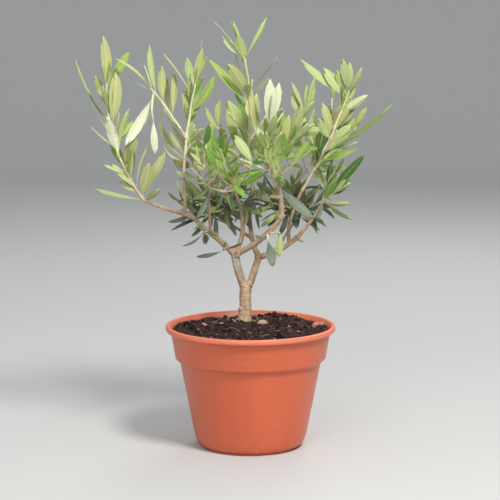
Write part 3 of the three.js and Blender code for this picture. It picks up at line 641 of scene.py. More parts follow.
bark_parts = []
spine_points, spine_radii, spine_along, spine_nodes = [], [], [], []
for seed, (name, limb) in enumerate(LIMBS.items()):
    path = limb_path(name)
    length = path_length(path)
    t = np.linspace(0, 1, max(8, int(length / 1.2)))
    first, last = limb["radii"]
    radii = (first + (last - first) * t) * limb["stout"]
    old_limb = first > OLD_RADIUS
    if name == "trunk":
        radii = radii + 1.3 * np.exp(-t * 9)
    else:
        radii = radii * (1 + 0.35 * np.exp(-t * length / 2.5))
    along = t * length
    spacing = 15 + 5 * chance(seed, 3)
    near_node = np.exp(-(((along + 6 * chance(seed, 4)) % spacing - spacing / 2) / 1.7) ** 2)
    radii = radii * (1 + (0.04 if old_limb else 0.14) * near_node)
    centres = path(t)
    if name == "trunk":
        centres[0, 2] = FOOT[2] - 1.5
    sway = (0.07 if old_limb else 0.18) * first
    phase = 6 * chance(seed, 5)
    inner = np.sin(np.pi * t)
    centres = centres + np.stack(
        [sway * inner * np.sin(along / 7 + phase), sway * inner * np.cos(along / 9 + phase), 0 * t], axis=-1
    )
    bark_parts.append(tube_mesh(centres, radii, 20 if old_limb else 14))
    spine_points.append(centres)
    spine_radii.append(radii)
    spine_along.append(along)
    spine_nodes.append(near_node)
for start, end, radius in STUBS:
    t = np.linspace(0, 1, 8)
    bark_parts.append(tube_mesh(bowed(start, end, (0, 0, 0))(t), radius * (1 - 0.25 * t), 12))
for centre, radius in LUMPS:
    t = np.linspace(-0.95, 0.95, 9)
    ball = np.array(centre) + np.stack([0 * t, 0 * t, radius * t], axis=-1)
    bark_parts.append(tube_mesh(ball, radius * np.sqrt(1 - t ** 2), 14))

bark = new_piece("trunk_and_boughs", *joined(bark_parts), [])
applied(bark, "REMESH", mode="VOXEL", voxel_size=BARK_VOXEL * MM)
applied(bark, "SMOOTH", factor=0.5, iterations=6)


def corner_values(piece, kind):
    """One vector for each vertex of a mesh: its place in metres (co) or its normal."""
    values = np.empty(len(piece.data.vertices) * 3, np.float32)
    piece.data.vertices.foreach_get(kind, values)
    return values.reshape(-1, 3).astype(float)


bark_points, bark_normals = corner_values(bark, "co") / MM, corner_values(bark, "normal")
spine = np.concatenate(spine_points)
spine_radius = np.concatenate(spine_radii)
nearest = np.concatenate([
    np.argmin(((block[:, None] - spine[None]) ** 2).sum(-1) / spine_radius[None] ** 2, axis=1)
    for block in np.array_split(bark_points, 60)
])
limb_radius = spine_radius[nearest]
node_share = np.concatenate(spine_nodes)[nearest]
rise = np.concatenate(spine_along)[nearest]
# Relief: long ridges that wander up the limb, fine cross wrinkles, scales on the oldest wood, and
# small raised pores
old = np.clip((limb_radius - 2.2) / 3.2, 0, 1)
bark_x, bark_y, bark_z = bark_points.T
long_place = np.stack([bark_x + 0.6 * bark_y, bark_y - 0.6 * bark_x, 0.2 * bark_z + 0.3 * bark_x], axis=-1)
relief = 0.32 * old * (0.5 - np.abs(lattice_noise(long_place, 2.6, 41)))
ring_place = np.stack([0.3 * bark_x, 0.3 * bark_y, bark_z + 0.25 * bark_x - 0.2 * bark_y], axis=-1)
relief += 0.28 * lattice_noise(ring_place, 1.0, 43) * (0.25 + old)
relief += 0.16 * old * lattice_noise(bark_points, 4.5, 45)
pores = lattice_noise(bark_points * [1, 1, 0.6], 1.5, 47)
relief += 0.22 * np.clip(pores - 0.62, 0, 1) * 2
relief += 0.15 * node_share * lattice_noise(bark_points, 1.3, 49)
# Fibres run along each limb: noise on the place round the limb, stretched eight times along it
fibre_place = bark_points - spine[nearest] + rise[:, None] * [0.09, 0.07, 0.05]
fibre = lattice_noise(fibre_place, 1.15, 51) + 0.6 * lattice_noise(fibre_place, 0.6, 53)
relief += 0.1 * fibre
cut = np.clip((bark_points[:, 2] - FOOT[2]) / 2, 0, 1)
bark_points = bark_points + bark_normals * (relief * cut)[:, None]
bark_points[:, 2] = np.maximum(bark_points[:, 2], FOOT[2] - 1.2)
bark.data.vertices.foreach_set("co", (bark_points * MM).astype(np.float32).ravel())
bark.data.update()
bark.data.polygons.foreach_set("use_smooth", np.full(len(bark.data.polygons), True))


def point_attribute(piece, name, values):
    """Gives each vertex a value of its own, which a finish can read."""
    made = piece.data.attributes.new(name, "FLOAT", "POINT")
    made.data.foreach_set("value", values.astype(np.float32))


GREY_PATCH = np.array([-15.0, 14.0, 181.0])
patch = np.exp(-(((bark_points - GREY_PATCH) / [6, 8, 10]) ** 2).sum(-1))
point_attribute(bark, "old_wood", old)
FORKS = np.array([(-16, 16, 192), (8, 26, 187)])
fork_share = np.exp(-((bark_points[:, None] - FORKS) ** 2).sum(-1) / 30).sum(-1)
point_attribute(bark, "node", np.clip(node_share + fork_share + 0.5 * np.clip(-relief * 4, 0, 1), 0, 1.6))
point_attribute(bark, "fibre", np.clip(0.5 - 0.55 * fibre, 0, 1))
point_attribute(bark, "grey_patch", np.clip(1.3 * patch, 0, 1))
bark_finish = Finish("bark", (0.42, 0.29, 0.2), 0.75, specular=0.3)
bark_tone = bark_finish.grain(330, 0.34, 0.66, detail=5, stretch=(1, 1, 0.35))
young_bark = bark_finish.mix(bark_tone["Mask"], (0.34, 0.25, 0.17), (0.54, 0.42, 0.295))
old_bark = bark_finish.mix(bark_tone["Mask"], (0.45, 0.32, 0.215), (0.68, 0.51, 0.36))
bark_colour = bark_finish.mix(bark_finish.attribute("old_wood"), young_bark, old_bark)
# Dark furrows, warm forks and nodes, a grey patch at the fork, and pale specks
bark_colour = bark_finish.over(bark_colour, bark_finish.attribute("fibre"), 0.62, (0.18, 0.115, 0.07))
bark_colour = bark_finish.over(bark_colour, bark_finish.attribute("node"), 0.42, (0.46, 0.25, 0.12))
grey = bark_finish.attribute("grey_patch")
patch_grain = bark_finish.grain(240, 0.35, 0.6, detail=4)["Mask"]
bark_colour = bark_finish.over(bark_colour, grey, patch_grain, (0.36, 0.39, 0.33))
speck = bark_finish.grain(1400, 0.62, 0.7, detail=2)["Mask"]
bark_colour = bark_finish.over(bark_colour, speck, 0.5, (0.66, 0.53, 0.42))
bark_finish.drive("Base Color", bark_colour)
bark_fine = bark_finish.grain(900, 0.3, 0.7, detail=4, relief=0.35, depth=0.0002, stretch=(1, 1, 0.5))
bark_finish.drive("Normal", bark_fine["Normal"])
bark.data.materials.clear()
bark.data.materials.append(bark_finish.material)
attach(bark, "root")
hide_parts(*LIMBS)

# Shoots: this and last year's growth, thin and whippy, each mass of them on one limb. Leaves stand
# on them in opposite pairs, each pair turned a quarter round from the one below.

# on and at: the shoot of its mass that it starts from, and how far along; leaf: the length of its
# leaves; spread and turn: their angles in degrees; bare: its share below the first pair
PLAIN_SHOOT = {
    "on": 0, "at": 0, "bow": (0, 0, 0), "pairs": 5, "leaf": 34, "spread": 40, "turn": 0, "bare": 0.1,
    "girth": 1.2,
}


def shoot(tip, **options):
    """A shoot that ends at the tip, plain but for the options."""
    return {**PLAIN_SHOOT, "tip": tip, **options}


# A mass starts at the tip of its limb, or at the given share of it. tone says how old and dark it
# is, its darkness partly painted shade for masses low and deep in the crown; twig_gap says how far
# apart its side twigs are, and reach how far it goes to either side. Shaded masses have old leaves
# strung along their shoots. placed are single leaves, those of the crown's outline and then those
# that fill it: the shoot, the share along it, where the leaf ends, its roll in degrees, its width
# to its length, and where a leaf is paler or darker than its mass, its own tone, whose highest
# values stand partly for painted shade.
MASSES = {
    "left_outer_foliage": {
        "limb": "left_arm", "tone": 0.22,
        "shoots": [shoot((-141, -4, 362), bow=(-9, 0, -5), pairs=7, leaf=36, turn=20, spread=28, bare=0.14)],
        "placed": [
            (0, 0.01, (-155, -12, 260), 30, 0.1, -0.2), (0, 0.03, (-100, -10, 285), 70, 0.34),
            (0, 0.04, (-83, 4, 296), 60, 0.18), (0, 0.12, (-138, -16, 284), 50, 0.18),
            (0, 0.66, (-171, -8, 387), 0, 0.12), (0, 0.94, (-144, -2, 409), 80, 0.19),
            (0, 0.97, (-119, 4, 393), -60, 0.22, -0.6), (0, 0.58, (-158, -8, 344), 10, 0.12),
            (0, 0.66, (-132, -2, 375), 80, 0.22), (0, 0.75, (-146, -4, 362), -60, 0.2, 1.6),
            (0, 0.42, (-141, -10, 331), 85, 0.24, -3), (0, 0.5, (-158, -2, 321), 20, 0.14),
            (0, 0.58, (-129, -6, 335), 30, 0.16), (0, 0.22, (-146, -8, 283), 30, 0.14),
            (0, 0.08, (-130, -12, 266), 60, 0.28), (0, 0.12, (-95, -4, 309), 20, 0.1),
            (0, 0.2, (-116, -8, 294), 40, 0.17), (0, 0.25, (-124, -12, 296), -70, 0.4),
            (0, 0.34, (-112, -4, 311), 70, 0.36), (0, 0.45, (-119, 4, 338), 40, 0.2),
            (0, 0, (-89, -8, 259), 70, 0.34),
        ],
    },
    "left_crown_foliage": {
        "limb": "left_riser", "tone": 0.26,
        "shoots": [
            shoot((-54, 4, 362), bow=(-2, 0, 0), pairs=7, turn=60, spread=28),
            shoot((-98, -4, 358), at=0.38, bow=(2, 0, 0), pairs=2, leaf=36, turn=80, spread=35, bare=0.5),
            shoot((-95, -8, 327), on=1, at=0.92, bow=(-2, 0, 0), pairs=0),
        ],
        "placed": [
            (1, 0.97, (-134, -10, 388), 30, 0.12), (1, 0.85, (-99, 0, 401), 60, 0.125),
            (1, 0.7, (-87, 0, 380), 80, 0.22), (1, 0.45, (-75, 8, 374), 60, 0.18),
            (2, 0.15, (-124, -14, 301), 78, 0.175, -3), (2, 0.6, (-113, 0, 310), 60, 0.2),
            (2, 0.95, (-93, -10, 292), 88, 0.19, -3), (0, 0.93, (-47, 4, 397), 70, 0.23),
            (0, 0.84, (-87, 0, 393), 10, 0.1), (0, 0.95, (-62, 2, 388), 80, 0.28),
            (0, 0.66, (-35, 4, 370), -60, 0.23, -0.6), (0, 0.42, (-88, -4, 342), 30, 0.12),
            (1, 0.95, (-87, -6, 320), 20, 0.1), (0, 0.6, (-51, -6, 351), 75, 0.36),
            (0, 0.7, (-68, -4, 353), 40, 0.22), (0, 0.75, (-57, 0, 368), -30, 0.15),
            (0, 0.32, (-55, -8, 322), 60, 0.28), (0, 0.32, (-46, -10, 319), 80, 0.28, -0.8),
            (0, 0.2, (-80, -4, 316), 50, 0.16), (0, 0.14, (-86, 2, 302), 40, 0.14, 1.2),
            (0, 0.24, (-48, 6, 312), 60, 0.24), (0, 0.98, (-47, 6, 406), 10, 0.07),
        ],
    },
    "centre_top_foliage": {
        "limb": "middle_right", "tone": 0.15,
        "shoots": [
            shoot((-9, 10, 400), bow=(8, 0, 0), pairs=7, leaf=36, spread=28),
            shoot((-22, -4, 334), at=0.3, pairs=4, leaf=36, turn=50, spread=30),
            shoot((22, 30, 338), at=0.25, pairs=4, turn=20, spread=32),
        ],
        "placed": [
            (0, 0.99, (-17, 12, 423), 60, 0.2), (0, 0.9, (16, 12, 427), 50, 0.13),
            (0, 0.9, (-28, 6, 409), 70, 0.22), (0, 0.86, (-38, 4, 424), 10, 0.07),
            (0, 0.82, (-9, 6, 397), 80, 0.3, 1.2), (0, 0.55, (-41, 0, 386), -55, 0.18, -0.6),
            (0, 0.6, (-23, -2, 382), 80, 0.25), (0, 0.66, (27, 6, 389), 10, 0.08),
            (0, 0.6, (-4, -10, 362), 70, 0.22), (0, 0.1, (-22, -4, 346), 70, 0.26),
            (0, 0.3, (6, -2, 352), 70, 0.24),
        ],
    },
    "centre_right_foliage": {
        "limb": "right_spur", "tone": 0.36,
        "shoots": [
            shoot((20, -16, 326), bow=(-8, 0, 0), pairs=5, leaf=36, spread=30),
            shoot((16, -70, 306), at=0.2, pairs=3, turn=40, spread=42),
            shoot((-14, -30, 292), at=0.25, pairs=4, leaf=30, spread=42),
            shoot((54, -4, 338), at=0.15, bow=(-4, 0, -3), pairs=5, turn=70, spread=30, bare=0.2),
            shoot((56, -74, 302), at=0.12, pairs=3, turn=10, spread=42),
        ],
        "placed": [
            (0, 0.9, (19, -20, 368), 85, 0.24, -1.8), (0, 0.92, (28, -14, 364), 80, 0.24, -1.8),
            (0, 0.5, (1, -14, 358), 40, 0.16), (0, 0.1, (-15, -18, 286), 20, 0.14),
            (3, 0.9, (42, -4, 354), 60, 0.34), (3, 0.97, (40, -6, 364), 50, 0.18),
            (3, 0.98, (55, -6, 362), 70, 0.2), (3, 0.99, (63, -8, 370), 70, 0.18),
            (3, 0.7, (70, -10, 318), 80, 0.34), (0, 0.03, (64, -22, 229), 112, 0.24, 2.2),
            (0, 0.04, (36, -14, 286), 50, 0.22, 1.0), (0, 0.02, (44, -14, 246), 50, 0.24, 2.0),
            (2, 0.2, (6, -20, 244), 40, 0.2, 2.2), (0, 0.3, (38, -18, 300), -70, 0.26),
            (3, 0.3, (62, -12, 296), 70, 0.3), (3, 0.4, (34, -10, 318), 60, 0.24),
            (0, 0.7, (0, -14, 332), 75, 0.3), (0, 0.12, (13, -18, 306), 80, 0.3),
            (2, 0.5, (-16, -24, 313), 75, 0.28, 0.75), (0, 0.03, (21, -16, 297), 80, 0.26, -1),
            (3, 0.3, (38, -8, 333), -70, 0.24, 1.8), (3, 0.35, (48, -8, 326), -60, 0.22, 1.8),
        ],
    },
    "right_upper_foliage": {
        "limb": "right_riser", "tone": 0.42, "reach": (-90, 114),
        "shoots": [
            shoot((97, -2, 356), bow=(2, 0, -3), pairs=8, leaf=36, turn=45, spread=28, bare=0.2),
            shoot((84, -22, 318), at=0.3, pairs=4, leaf=36, spread=32),
            shoot((106, 22, 318), at=0.4, pairs=4, turn=30, spread=18),
        ],
        "placed": [
            (0, 0.95, (48, -8, 387), 50, 0.19), (0, 0.98, (90, -4, 387), 80, 0.24),
            (0, 0.99, (97, -2, 384), 80, 0.24), (0, 0.42, (141, -6, 344), 50, 0.125),
            (0, 0.78, (116, 2, 351), 70, 0.26), (0, 0.92, (71, -2, 378), 60, 0.27),
            (0, 0.94, (84, -6, 376), 80, 0.24), (0, 0.4, (100, -8, 322), 80, 0.3),
            (0, 0.3, (62, -2, 318), 75, 0.34), (0, 0.55, (70, 0, 344), 70, 0.24),
            (0, 0.62, (100, 0, 348), 60, 0.22), (0, 0.25, (88, -6, 300), 60, 0.22),
            (1, 0.7, (66, -24, 330), 75, 0.28), (2, 0.8, (116, 18, 338), 60, 0.24),
            (0, 0.25, (79, 6, 341), -70, 0.22, 1.8), (0, 0.2, (84, -4, 320), -60, 0.34, 1.8),
        ],
    },
    "right_outer_foliage": {
        "limb": "right_arm", "tone": 0.6,
        "shoots": [
            shoot((86, 6, 280), bow=(-2, 0, 0), pairs=4, leaf=32, turn=30),
            shoot((100, 22, 262), at=0.1, pairs=3, leaf=28, turn=60, spread=30),
        ],
        "placed": [
            (0, 0.02, (99, 4, 244), 60, 0.2), (0, 0.02, (66, -12, 228), 60, 0.24, 2.2),
            (0, 0.1, (102, -2, 228), 40, 0.2), (0, 0.05, (112, -6, 293), -52, 0.17, 0.7),
            (0, 0.5, (108, 6, 282), 60, 0.2), (0, 0.3, (64, 4, 284), 60, 0.24),
            (0, 0, (84, -6, 275), -70, 0.28, 0.7),
        ],
    },
    "left_inner_foliage": {
        "limb": "left_twig", "tone": 0.5,
        "shoots": [
            shoot((-38, -30, 284), pairs=3, leaf=26, turn=30, spread=44, bare=0.4),
            shoot((-60, -8, 282), at=0.15, pairs=2, leaf=28, spread=28, bare=0.5),
            shoot((-44, -14, 306), at=0.3, pairs=4, turn=70, bare=0.3),
            shoot((-48, -66, 312), at=0.4, pairs=4, turn=10, bare=0.3),
            shoot((-8, -70, 276), at=0.1, bow=(4, 0, -8), pairs=3, leaf=32, bare=0.5),
            shoot((-28, -98, 306), on=4, at=0.6, pairs=4, leaf=32, turn=40),
        ],
        "placed": [
            (0, 0.6, (-60, -30, 296), 20, 0.34), (0, 0.7, (-24, -34, 292), 20, 0.36),
            (0, 0.8, (-53, -34, 288), 70, 0.32), (0, 0.5, (-38, -32, 276), 80, 0.5),
            (0, 0.9, (-39, -28, 306), -75, 0.4, 0.2), (2, 0.5, (-24, -16, 300), 60, 0.3),
            (1, 0.3, (-76, -12, 276), 60, 0.2, 1.8), (1, 0.2, (-66, -10, 258), 30, 0.2, 2.2),
            (0, 0.15, (-22, -14, 250), 40, 0.2, 2.2), (0, 0.1, (-58, -12, 249), 50, 0.2, 2.2),
            (0, 0.3, (-18, -26, 240), 50, 0.22, 2.2), (0, 0.03, (-54, -16, 230), 60, 0.2, 2.2),
            (4, 0.3, (-30, -42, 246), 60, 0.22, 2.2), (4, 0.2, (-6, -20, 238), 40, 0.22, 2.2),
        ],
    },
    "centre_left_foliage": {
        "limb": "middle_left", "tone": 0.4,
        "shoots": [
            shoot((-32, 18, 318), bow=(6, 0, 0), pairs=6, turn=10, spread=38),
            shoot((-52, 32, 306), at=0.2, pairs=4, turn=40, spread=42),
            shoot((-38, 52, 300), at=0.1, pairs=4, leaf=32, turn=70, spread=46),
        ],
        "placed": [
            (0, 0.97, (-31, 18, 345), 70, 0.25), (0, 0.9, (-45, 14, 338), 40, 0.2),
        ],
    },
    "back_top_foliage": {
        "limb": "back_stem", "tone": 0.7, "twig_gap": 80,
        "shoots": [
            shoot((2, 84, 362), bow=(-4, 8, 0), pairs=6, leaf=38, turn=30, spread=44),
            shoot((-24, 112, 322), at=0.2, pairs=4, leaf=36, spread=44),
            shoot((34, 112, 326), at=0.25, pairs=4, leaf=36, turn=50, spread=44),
            shoot((-16, 92, 226), at=0.02, pairs=4, turn=20, spread=52),
            shoot((26, 96, 240), on=3, at=0.3, pairs=4, turn=60, spread=52),
        ],
    },
    "back_left_foliage": {
        "limb": "back_left", "tone": 0.6, "twig_gap": 80,
        "shoots": [
            shoot((-64, 84, 348), bow=(-8, 0, -4), pairs=6, leaf=38, turn=20, spread=44),
            shoot((-88, 66, 300), at=0.2, pairs=4, leaf=36, turn=60, spread=44),
            shoot((-54, 114, 308), at=0.3, leaf=36, turn=10, spread=44),
        ],
    },
    "back_right_foliage": {
        "limb": "back_right", "tone": 0.6, "twig_gap": 80, "reach": (-90, 104),
        "shoots": [
            shoot((84, 80, 344), bow=(8, 0, -4), pairs=6, leaf=38, turn=10, spread=44),
            shoot((108, 54, 300), at=0.25, pairs=4, leaf=36, turn=40, spread=44),
            shoot((58, 112, 308), at=0.3, leaf=36, turn=70, spread=44),
        ],
    },
    "low_left_foliage": {
        "limb": "low_left", "tone": 0.9, "reach": (-84, 90), "twig_gap": 9, "shaded": True,
        "shoots": [
            shoot((-70, 58, 238), pairs=4, leaf=32, turn=20, spread=52),
            shoot((-46, 84, 246), at=0.1, pairs=4, leaf=32, turn=60, spread=52),
            shoot((-22, 66, 250), at=0.1, pairs=3, leaf=32, spread=50),
            shoot((-4, 40, 240), at=0.3, pairs=3, leaf=30, turn=40, spread=56),
        ],
        "placed": [
            (3, 0.25, (-34, 28, 205), 60, 0.2), (3, 0.4, (-14, 22, 208), 70, 0.2),
            (3, 0.55, (2, 24, 212), 50, 0.2), (3, 0.7, (12, 26, 226), 60, 0.24),
            (3, 0.8, (-26, 14, 246), 60, 0.22), (3, 0.95, (14, 16, 254), 60, 0.22),
            (3, 0.95, (-4, 8, 222), 60, 0.22), (3, 0.6, (-34, 20, 250), -60, 0.22),
            (0, 0.3, (-60, 34, 206), 50, 0.2), (0, 0.6, (-84, 44, 220), 50, 0.2),
            (1, 0.6, (-40, 60, 212), 60, 0.22), (0, 0.15, (-66, 30, 246), 50, 0.2),
            (0, 0.2, (-70, 24, 230), 40, 0.22), (2, 0.3, (-52, 30, 240), 60, 0.24),
            (2, 0.5, (-40, 24, 232), 70, 0.22), (2, 0.7, (-2, 36, 262), 60, 0.22),
            (3, 0.15, (-58, 26, 214), 40, 0.2), (3, 0.35, (-30, 16, 230), 60, 0.24),
            (3, 0.5, (-16, 10, 246), 70, 0.24), (3, 0.85, (16, 20, 238), 50, 0.22),
            (1, 0.4, (-66, 60, 256), 50, 0.22), (2, 0.9, (-44, 40, 262), 60, 0.24),
            (3, 0.6, (-20, 12, 216), -50, 0.2),
        ],
    },
    "low_right_foliage": {
        "limb": "low_right", "tone": 0.9, "twig_gap": 9, "shaded": True,
        "shoots": [
            shoot((72, 66, 240), pairs=4, leaf=32, turn=20, spread=52),
            shoot((44, 86, 246), at=0.1, pairs=4, leaf=32, turn=60, spread=52),
            shoot((26, 58, 246), at=0.1, pairs=3, leaf=32, spread=50),
            shoot((24, 34, 240), at=0.3, pairs=3, leaf=30, turn=50, spread=56),
        ],
        "placed": [
            (3, 0.5, (28, 14, 208), 60, 0.2, 2.4), (3, 0.7, (10, 16, 218), 50, 0.2),
            (3, 0.9, (0, 16, 232), 60, 0.22), (3, 0.95, (8, 10, 256), 60, 0.24),
            (3, 0.6, (50, 12, 226), -60, 0.22), (0, 0.3, (66, 36, 210), 50, 0.22),
            (0, 0.7, (86, 50, 222), 50, 0.2), (2, 0.7, (18, 40, 216), 60, 0.22),
            (0, 0.2, (84, 34, 236), 50, 0.22), (0, 0.4, (64, 24, 250), 60, 0.22),
            (3, 0.2, (70, 24, 240), 40, 0.22), (3, 0.4, (58, 16, 250), 60, 0.22),
            (3, 0.8, (24, 10, 226), 50, 0.2), (2, 0.4, (44, 26, 262), 70, 0.24),
            (2, 0.9, (6, 30, 262), 60, 0.22), (1, 0.3, (70, 60, 230), 50, 0.2),
            (3, 0.1, (76, 30, 218), 60, 0.2),
        ],
    },
    "left_sprig": {
        "limb": "left_bough", "share": 0.6, "tone": 0.7,
        "shoots": [shoot((-47, -1, 215), pairs=0)],
        "placed": [
            (0, 0.9, (-68, -6, 202), 30, 0.2, 2.4), (0, 0.95, (-43, -25, 206), 20, 0.28),
            (0, 0.7, (-52, -14, 226), 40, 0.24), (0, 0.9, (-44, -14, 205), 75, 0.45),
            (0, 0.8, (-31, -14, 214), 50, 0.3),
        ],
    },
    "fork_sprig": {
        "limb": "left_bough", "share": 0.2, "tone": 0.5,
        "shoots": [shoot((-29, 6, 195), pairs=0)],
        "placed": [
            (0, 0.95, (-54, 4, 190), 60, 0.22, 1.6), (0, 0.9, (-26, -14, 208), 20, 0.22),
            (0, 0.6, (-8, -8, 206), 30, 0.2),
        ],
    },
    "right_sprig": {
        "limb": "right_bough", "share": 0.66, "tone": 0.5,
        "shoots": [shoot((17, -10, 208), pairs=0), shoot((29, -8, 216), at=0.05, pairs=0, girth=0.7)],
        "placed": [
            (0, 0.9, (22, -16, 183), 80, 0.46, 2.8), (1, 1, (28, -11, 192), 75, 0.36, -2),
            (0, 0.9, (4, -20, 214), 40, 0.26),
        ],
    },
}
# The least angle in degrees between a leaf and its shoot, and how much lower one of a pair sits
LEAST_SPLAY = 14
PAIR_OFFSET = 1.6
# Single twigs and leaves are each turned by this many degrees from the one before
SPIRAL = 137
# Tones above which a leaf is old and narrow, and below which it shows its white underside
OLD_LEAF, OLD_LEAF_WIDTH, WHITE_LEAF = 0.85, 0.8, -1.3
SET_BACK = np.array([0, 14.0, 0])
# What a leaf and a side twig keep clear of a limb
LEAF_ROOM, TWIG_ROOM = 0.9, 0.8
# The radius of a shoot at its tip, and of a side twig at its start and its tip
SHOOT_TIP = 1.05
FINE_RADII = (0.72, 0.5)
UPWARD = np.array([0, 0, 1.0])


def unit(v):
    """v divided by its own length."""
    return v / np.linalg.norm(v, axis=-1, keepdims=True)


def turned_about(v, axis, degrees):
    """v turned about a unit axis: v cos a + (axis x v) sin a + axis (axis . v)(1 - cos a)."""
    a = math.radians(degrees)
    return v * math.cos(a) + np.cross(axis, v) * math.sin(a) + axis * np.dot(axis, v) * (1 - math.cos(a))


def heading(path, t):
    """The way a path goes at t: from 0.02 before it to 0.02 after it."""
    return unit(path(min(t + 0.02, 1)) - path(max(t - 0.02, 0)))


def across_of(along):
    """A direction square to a heading and as level as it can be."""
    return unit(np.cross(along, [1.0, 0, 0] if abs(along[1]) > 0.85 else [0, 1.0, 0]))


def facing(along, way, roll):
    """The way a leaf's upper side looks: towards its shoot, rolled about the leaf's own length."""
    return turned_about(unit(along - way * np.dot(along, way)), way, roll)


def leaf_pair(path, sizes, k, seed):
    """The two leaves at the kth node: opposite, one a little lower, turned a quarter round from the
    pair below. Low pairs are long and spread wide, and the top ones are short and hug the shoot."""
    pairs, bare = sizes["pairs"], sizes["bare"]
    share = min(1, bare + (1 - bare) * (k + 0.5 * chance(seed, k)) / max(pairs - 0.6, 1))
    along = heading(path, share)
    across = across_of(along)
    late = k / max(pairs - 1, 1)
    pair = []
    for side in (0, 1):
        n = 20 + 2 * k + side
        azimuth = sizes["turn"] + 90 * k + 180 * side + 50 * (chance(seed, n) - 0.5)
        splay = sizes["spread"] * (1.15 - 0.75 * late) + 24 * (chance(seed, n + 40) - 0.5)
        angle = math.radians(max(splay, LEAST_SPLAY))
        way = along * math.cos(angle) + turned_about(across, along, azimuth) * math.sin(angle)
        way = unit(way + [0, 0, 0.12])
        length = sizes["leaf"] * (1.08 - 0.35 * late ** 2) * (0.75 + 0.5 * chance(seed, n + 80))
        base = path(share) - along * side * PAIR_OFFSET
        width = length * (0.2 + 0.07 * chance(seed, n + 160))
        face = facing(along, way, 70 * (chance(seed, n + 120) - 0.5))
        pair.append((base, base + way * length, width, face))
    return pair


def placed_leaf(path, share, end, roll, wide):
    """A single leaf: seen from the front it is edge-on at a roll of 0 and flat on at 90, with its
    underside to the front, or its upper side where the roll is negative."""
    base, end = path(share), np.array(end, float)
    way = unit(end - base)
    front = np.array([0, -1.0, 0])
    face = unit(front - way * np.dot(way, front)) * (1 if roll < 0 else -1)
    return base, end, np.linalg.norm(end - base) * wide, turned_about(face, way, 90 - abs(roll))


# Every shoot and leaf of the crown. A side twig is a finer shoot of the same rule. A leaf or twig is
# left out where it would meet a limb or leave the space of its mass, and the crown stays open
# where stems, sky and the olive show between its leaves.
twigs, leaves = [], []
shoot_paths = {}
for mass_name, mass in MASSES.items():
    paths = shoot_paths[mass_name] = []
    for k, sizes in enumerate(mass["shoots"]):
        start = limb_path(mass["limb"])(mass.get("share", 1)) if k == 0 else paths[sizes["on"]](sizes["at"])
        paths.append(bowed(start, sizes["tip"], sizes["bow"]))
# Shoots and limbs that no leaf of the rule covers
OPEN_SHOOTS = [("left_outer_foliage", 0), ("left_crown_foliage", 0), ("left_crown_foliage", 1),
               ("centre_top_foliage", 0), ("right_upper_foliage", 0)]
OPEN_LIMBS = ("left_riser", "right_riser", "right_arm")
# Where sky shows between the shoots, seen from the front: x, z and radius in the trunk's plane
OPENINGS = np.array([
    (6, 378, 8.5), (-72, 332, 5.5), (-72, 344, 4.5), (-74, 358, 4), (-38, 334, 5), (-32, 343, 4),
    (-22, 331, 5), (-20, 324, 4), (-50, 323, 4), (9, 338, 6), (-100, 313, 4), (-98, 384, 5), (-132, 321, 4),
    (-140, 253, 5), (-32, 382, 3.5), (34, 344, 3.5), (72, 341, 4), (-88, 298, 4), (86, 242, 4),
    (108, 269, 4), (-9, 434, 5),
])
# The eye in front of the tree, level with its top
EYE = np.array([-0.5, -1800, 455])
OLIVE_CENTRE = np.array([29.2, -13.5, 269.5])
in_view = np.concatenate([
    *(shoot_paths[name][k](np.linspace(0.05, 0.85, 30)) for name, k in OPEN_SHOOTS),
    *(limb_path(name)(np.linspace(0, 1, 20)) for name in OPEN_LIMBS),
    OLIVE_CENTRE + [[0, 0, 0], [0, 0, 3.0]],
])


def meets_limb(points, room):
    """Whether a point is nearer to a limb's middle line than its radius there and the room."""
    gap = np.linalg.norm(points[:, None] - spine[None], axis=-1) - spine_radius[None]
    return bool((gap < room).any())


def leaf_line(base, end):
    """Six points along a leaf's middle, from 0.3 of its length to its tip."""
    return base + (end - base) * np.linspace(0.3, 1, 6)[:, None]


def within(point, space):
    """Whether a point lies between the low and the high corner of a space."""
    return bool(((point > space[0]) & (point < space[1])).all())


def seen(points):
    """The x and z at which points appear in the trunk's plane, on a straight line from the eye."""
    return EYE[::2] + (points[..., ::2] - EYE[::2]) * -EYE[1] / (points[..., 1:2] - EYE[1])


def covers_stem(line, width):
    """Whether a leaf lies before a stem that stays in view: its middle line is nearer the front and
    is seen to pass closer to it than 0.4 of its width and 1.2 mm."""
    beside = np.linalg.norm(seen(line)[:, None] - seen(in_view)[None], axis=-1)
    nearer = line[:, None, 1] < in_view[None, :, 1] - 1
    return bool(((beside < 0.4 * width + 1.2) & nearer).any())


def shuts_opening(line, width):
    """Whether a leaf or twig is seen to pass nearer to the middle of an opening than the opening's
    radius and 0.3 of its own width."""
    beside = np.linalg.norm(seen(line)[:, None] - OPENINGS[None, :, :2], axis=-1)
    return bool((beside < 0.3 * width + OPENINGS[:, 2]).any())


def add_leaf(leaf, tone, space=None):
    """Old leaves are narrower. A placed leaf, which has no space of its own, goes behind a stem that it
    would cover, unless it is one of the whitest."""
    base, end, width, face = leaf
    if tone > OLD_LEAF:
        width = OLD_LEAF_WIDTH * width
    line = leaf_line(base, end)
    if space is None:
        if tone > WHITE_LEAF and covers_stem(line, width):
            end = end + SET_BACK
        kept = True
    else:
        kept = within(end, space) and not covers_stem(line, width) and not shuts_opening(line, width)
    if kept and not meets_limb(leaf_line(base, end), LEAF_ROOM):
        leaves.append((base, end, width, face, tone))


